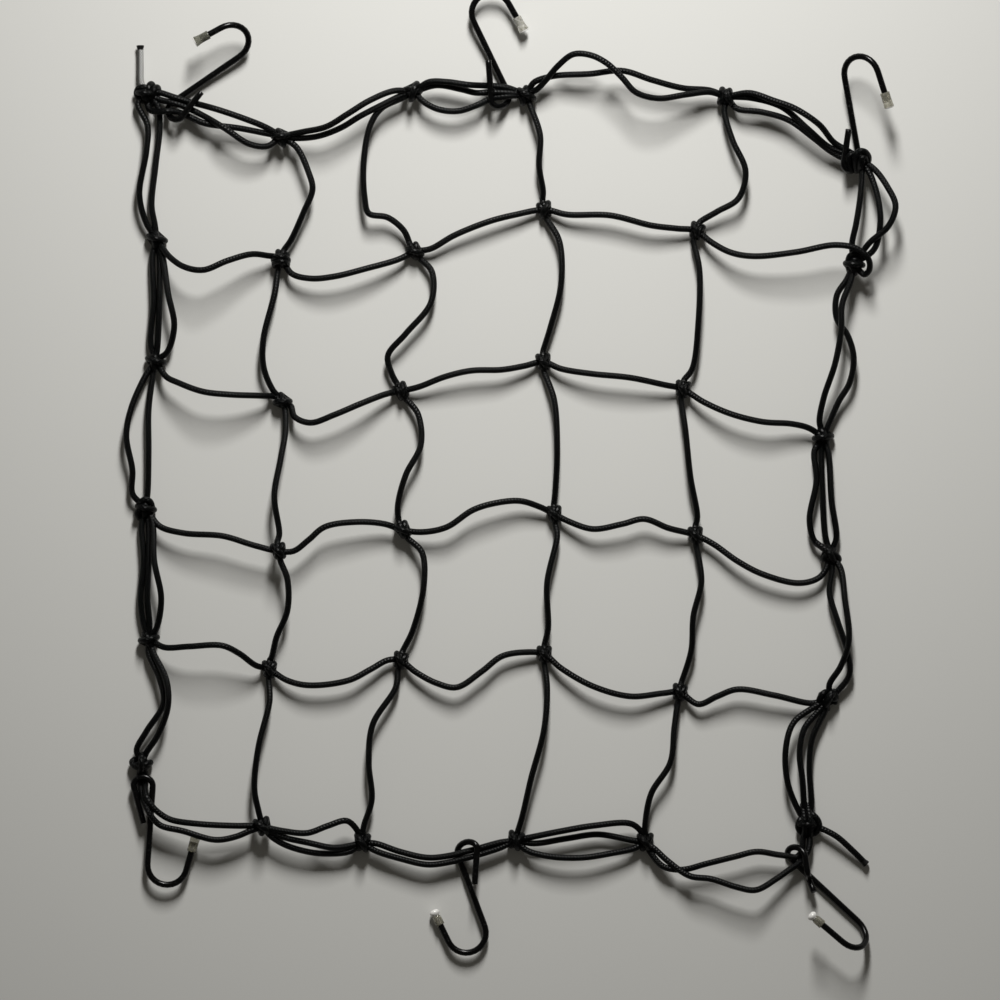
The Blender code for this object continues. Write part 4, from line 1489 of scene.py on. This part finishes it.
@dataclass
class Studio:
    """The floor, the lights and the camera, straight above.

    Sizes are in metres, but view_middle is on the drawing grid, sensor is in mm,
    key_spread in degrees and key_power in watts.
    """

    view_middle: tuple[float, float] = (500.0, 500.0)
    view_width: float = 0.56
    camera_height: float = 4.5
    clip_end: float = 50.0
    sensor: float = 36.0
    floor_half: float = 6.0
    key_place: Point = (0.05, 1.0, 0.85)
    key_aim: Point = (0.0, 0.06, 0.0)
    key_width: float = 0.2
    key_height: float = 0.5
    key_spread: float = 108.0
    key_power: float = 7.1
    key_colour: Point = (1.0, 0.99, 0.965)
    ambient: float = 0.068
    ambient_colour: Colour = (1.0, 0.95, 0.84, 1.0)

    def build_floor(self) -> None:
        """Build a wide plain floor just under the net."""
        half = self.floor_half
        mesh = bpy.data.meshes.new("floor")
        corners = [(-half, -half, 0.0), (half, -half, 0.0), (half, half, 0.0), (-half, half, 0.0)]
        mesh.from_pydata(corners, [], [(0, 1, 2, 3)])
        mesh.materials.append(PaleFloor().make())
        floor = show(mesh)

    def build_lights(self) -> None:
        """Build a soft key beyond the top edge, and an even dim surround."""
        light = bpy.data.lights.new("key", "AREA")
        light.shape = "RECTANGLE"
        light.size = self.key_width
        light.size_y = self.key_height
        light.spread = math.radians(self.key_spread)
        light.energy = self.key_power
        light.color = self.key_colour
        key = bpy.data.objects.new("key", light)
        key.visible_camera = False
        key.location = self.key_place
        toward = Vector(self.key_aim) - Vector(self.key_place)
        key.rotation_euler = toward.to_track_quat("-Z", "Y").to_euler()
        bpy.context.scene.collection.objects.link(key)
        world = bpy.data.worlds.new("studio")
        world.use_nodes = True
        background = world.node_tree.nodes["Background"]
        background.inputs["Color"].default_value = self.ambient_colour
        background.inputs["Strength"].default_value = self.ambient
        bpy.context.scene.world = world

    def build_camera(self) -> None:
        """Build the camera, looking straight down."""
        middle = place(*self.view_middle, 0.0) * MM
        data = bpy.data.cameras.new("camera")
        data.sensor_width = self.sensor
        data.lens = self.sensor * self.camera_height / self.view_width
        data.clip_end = self.clip_end
        camera = bpy.data.objects.new("camera", data)
        camera.location = (middle.x, middle.y, self.camera_height)
        bpy.context.scene.collection.objects.link(camera)
        bpy.context.scene.camera = camera
        bpy.context.scene.view_settings.view_transform = "Standard"

    def build(self) -> None:
        """Build all of it."""
        self.build_camera()
        self.build_floor()
        self.build_lights()


def main() -> None:
    """Build the net's looks, piece by piece."""
    logging.basicConfig(level=logging.INFO, format="%(name)s: %(message)s")
    Studio().build()
    cord, worn, fused = BraidedCord().make(), WORN_CORD.make(), MeltedTip().make()
    coating, steel = CoatedWire().make(), BareSteel().make()
    vinyls = {finish.name: finish.make() for finish in (*SLEEVES, MILKY_HIGHLIGHT_VINYL)}
    pieces = [InnerCords().build(cord), BorderCords().build(cord)]
    pieces += [CutEnd(node).build(worn if node == WORN_END else cord, fused) for node in CUT_ENDS]
    for number, (tip, sleeve) in enumerate(zip(CAP_TIPS, SLEEVES), start=1):
        hook = WireHook(number, tip)
        pieces.append(hook.build_wire(coating, steel))
        pieces.append(hook.build_cap(vinyls[sleeve.name], vinyls[MILKY_HIGHLIGHT_VINYL.name]))
    for piece in pieces:
        LOG.info("%s: %d faces", piece.name, len(piece.data.polygons))


if __name__ == "__main__":
    main()
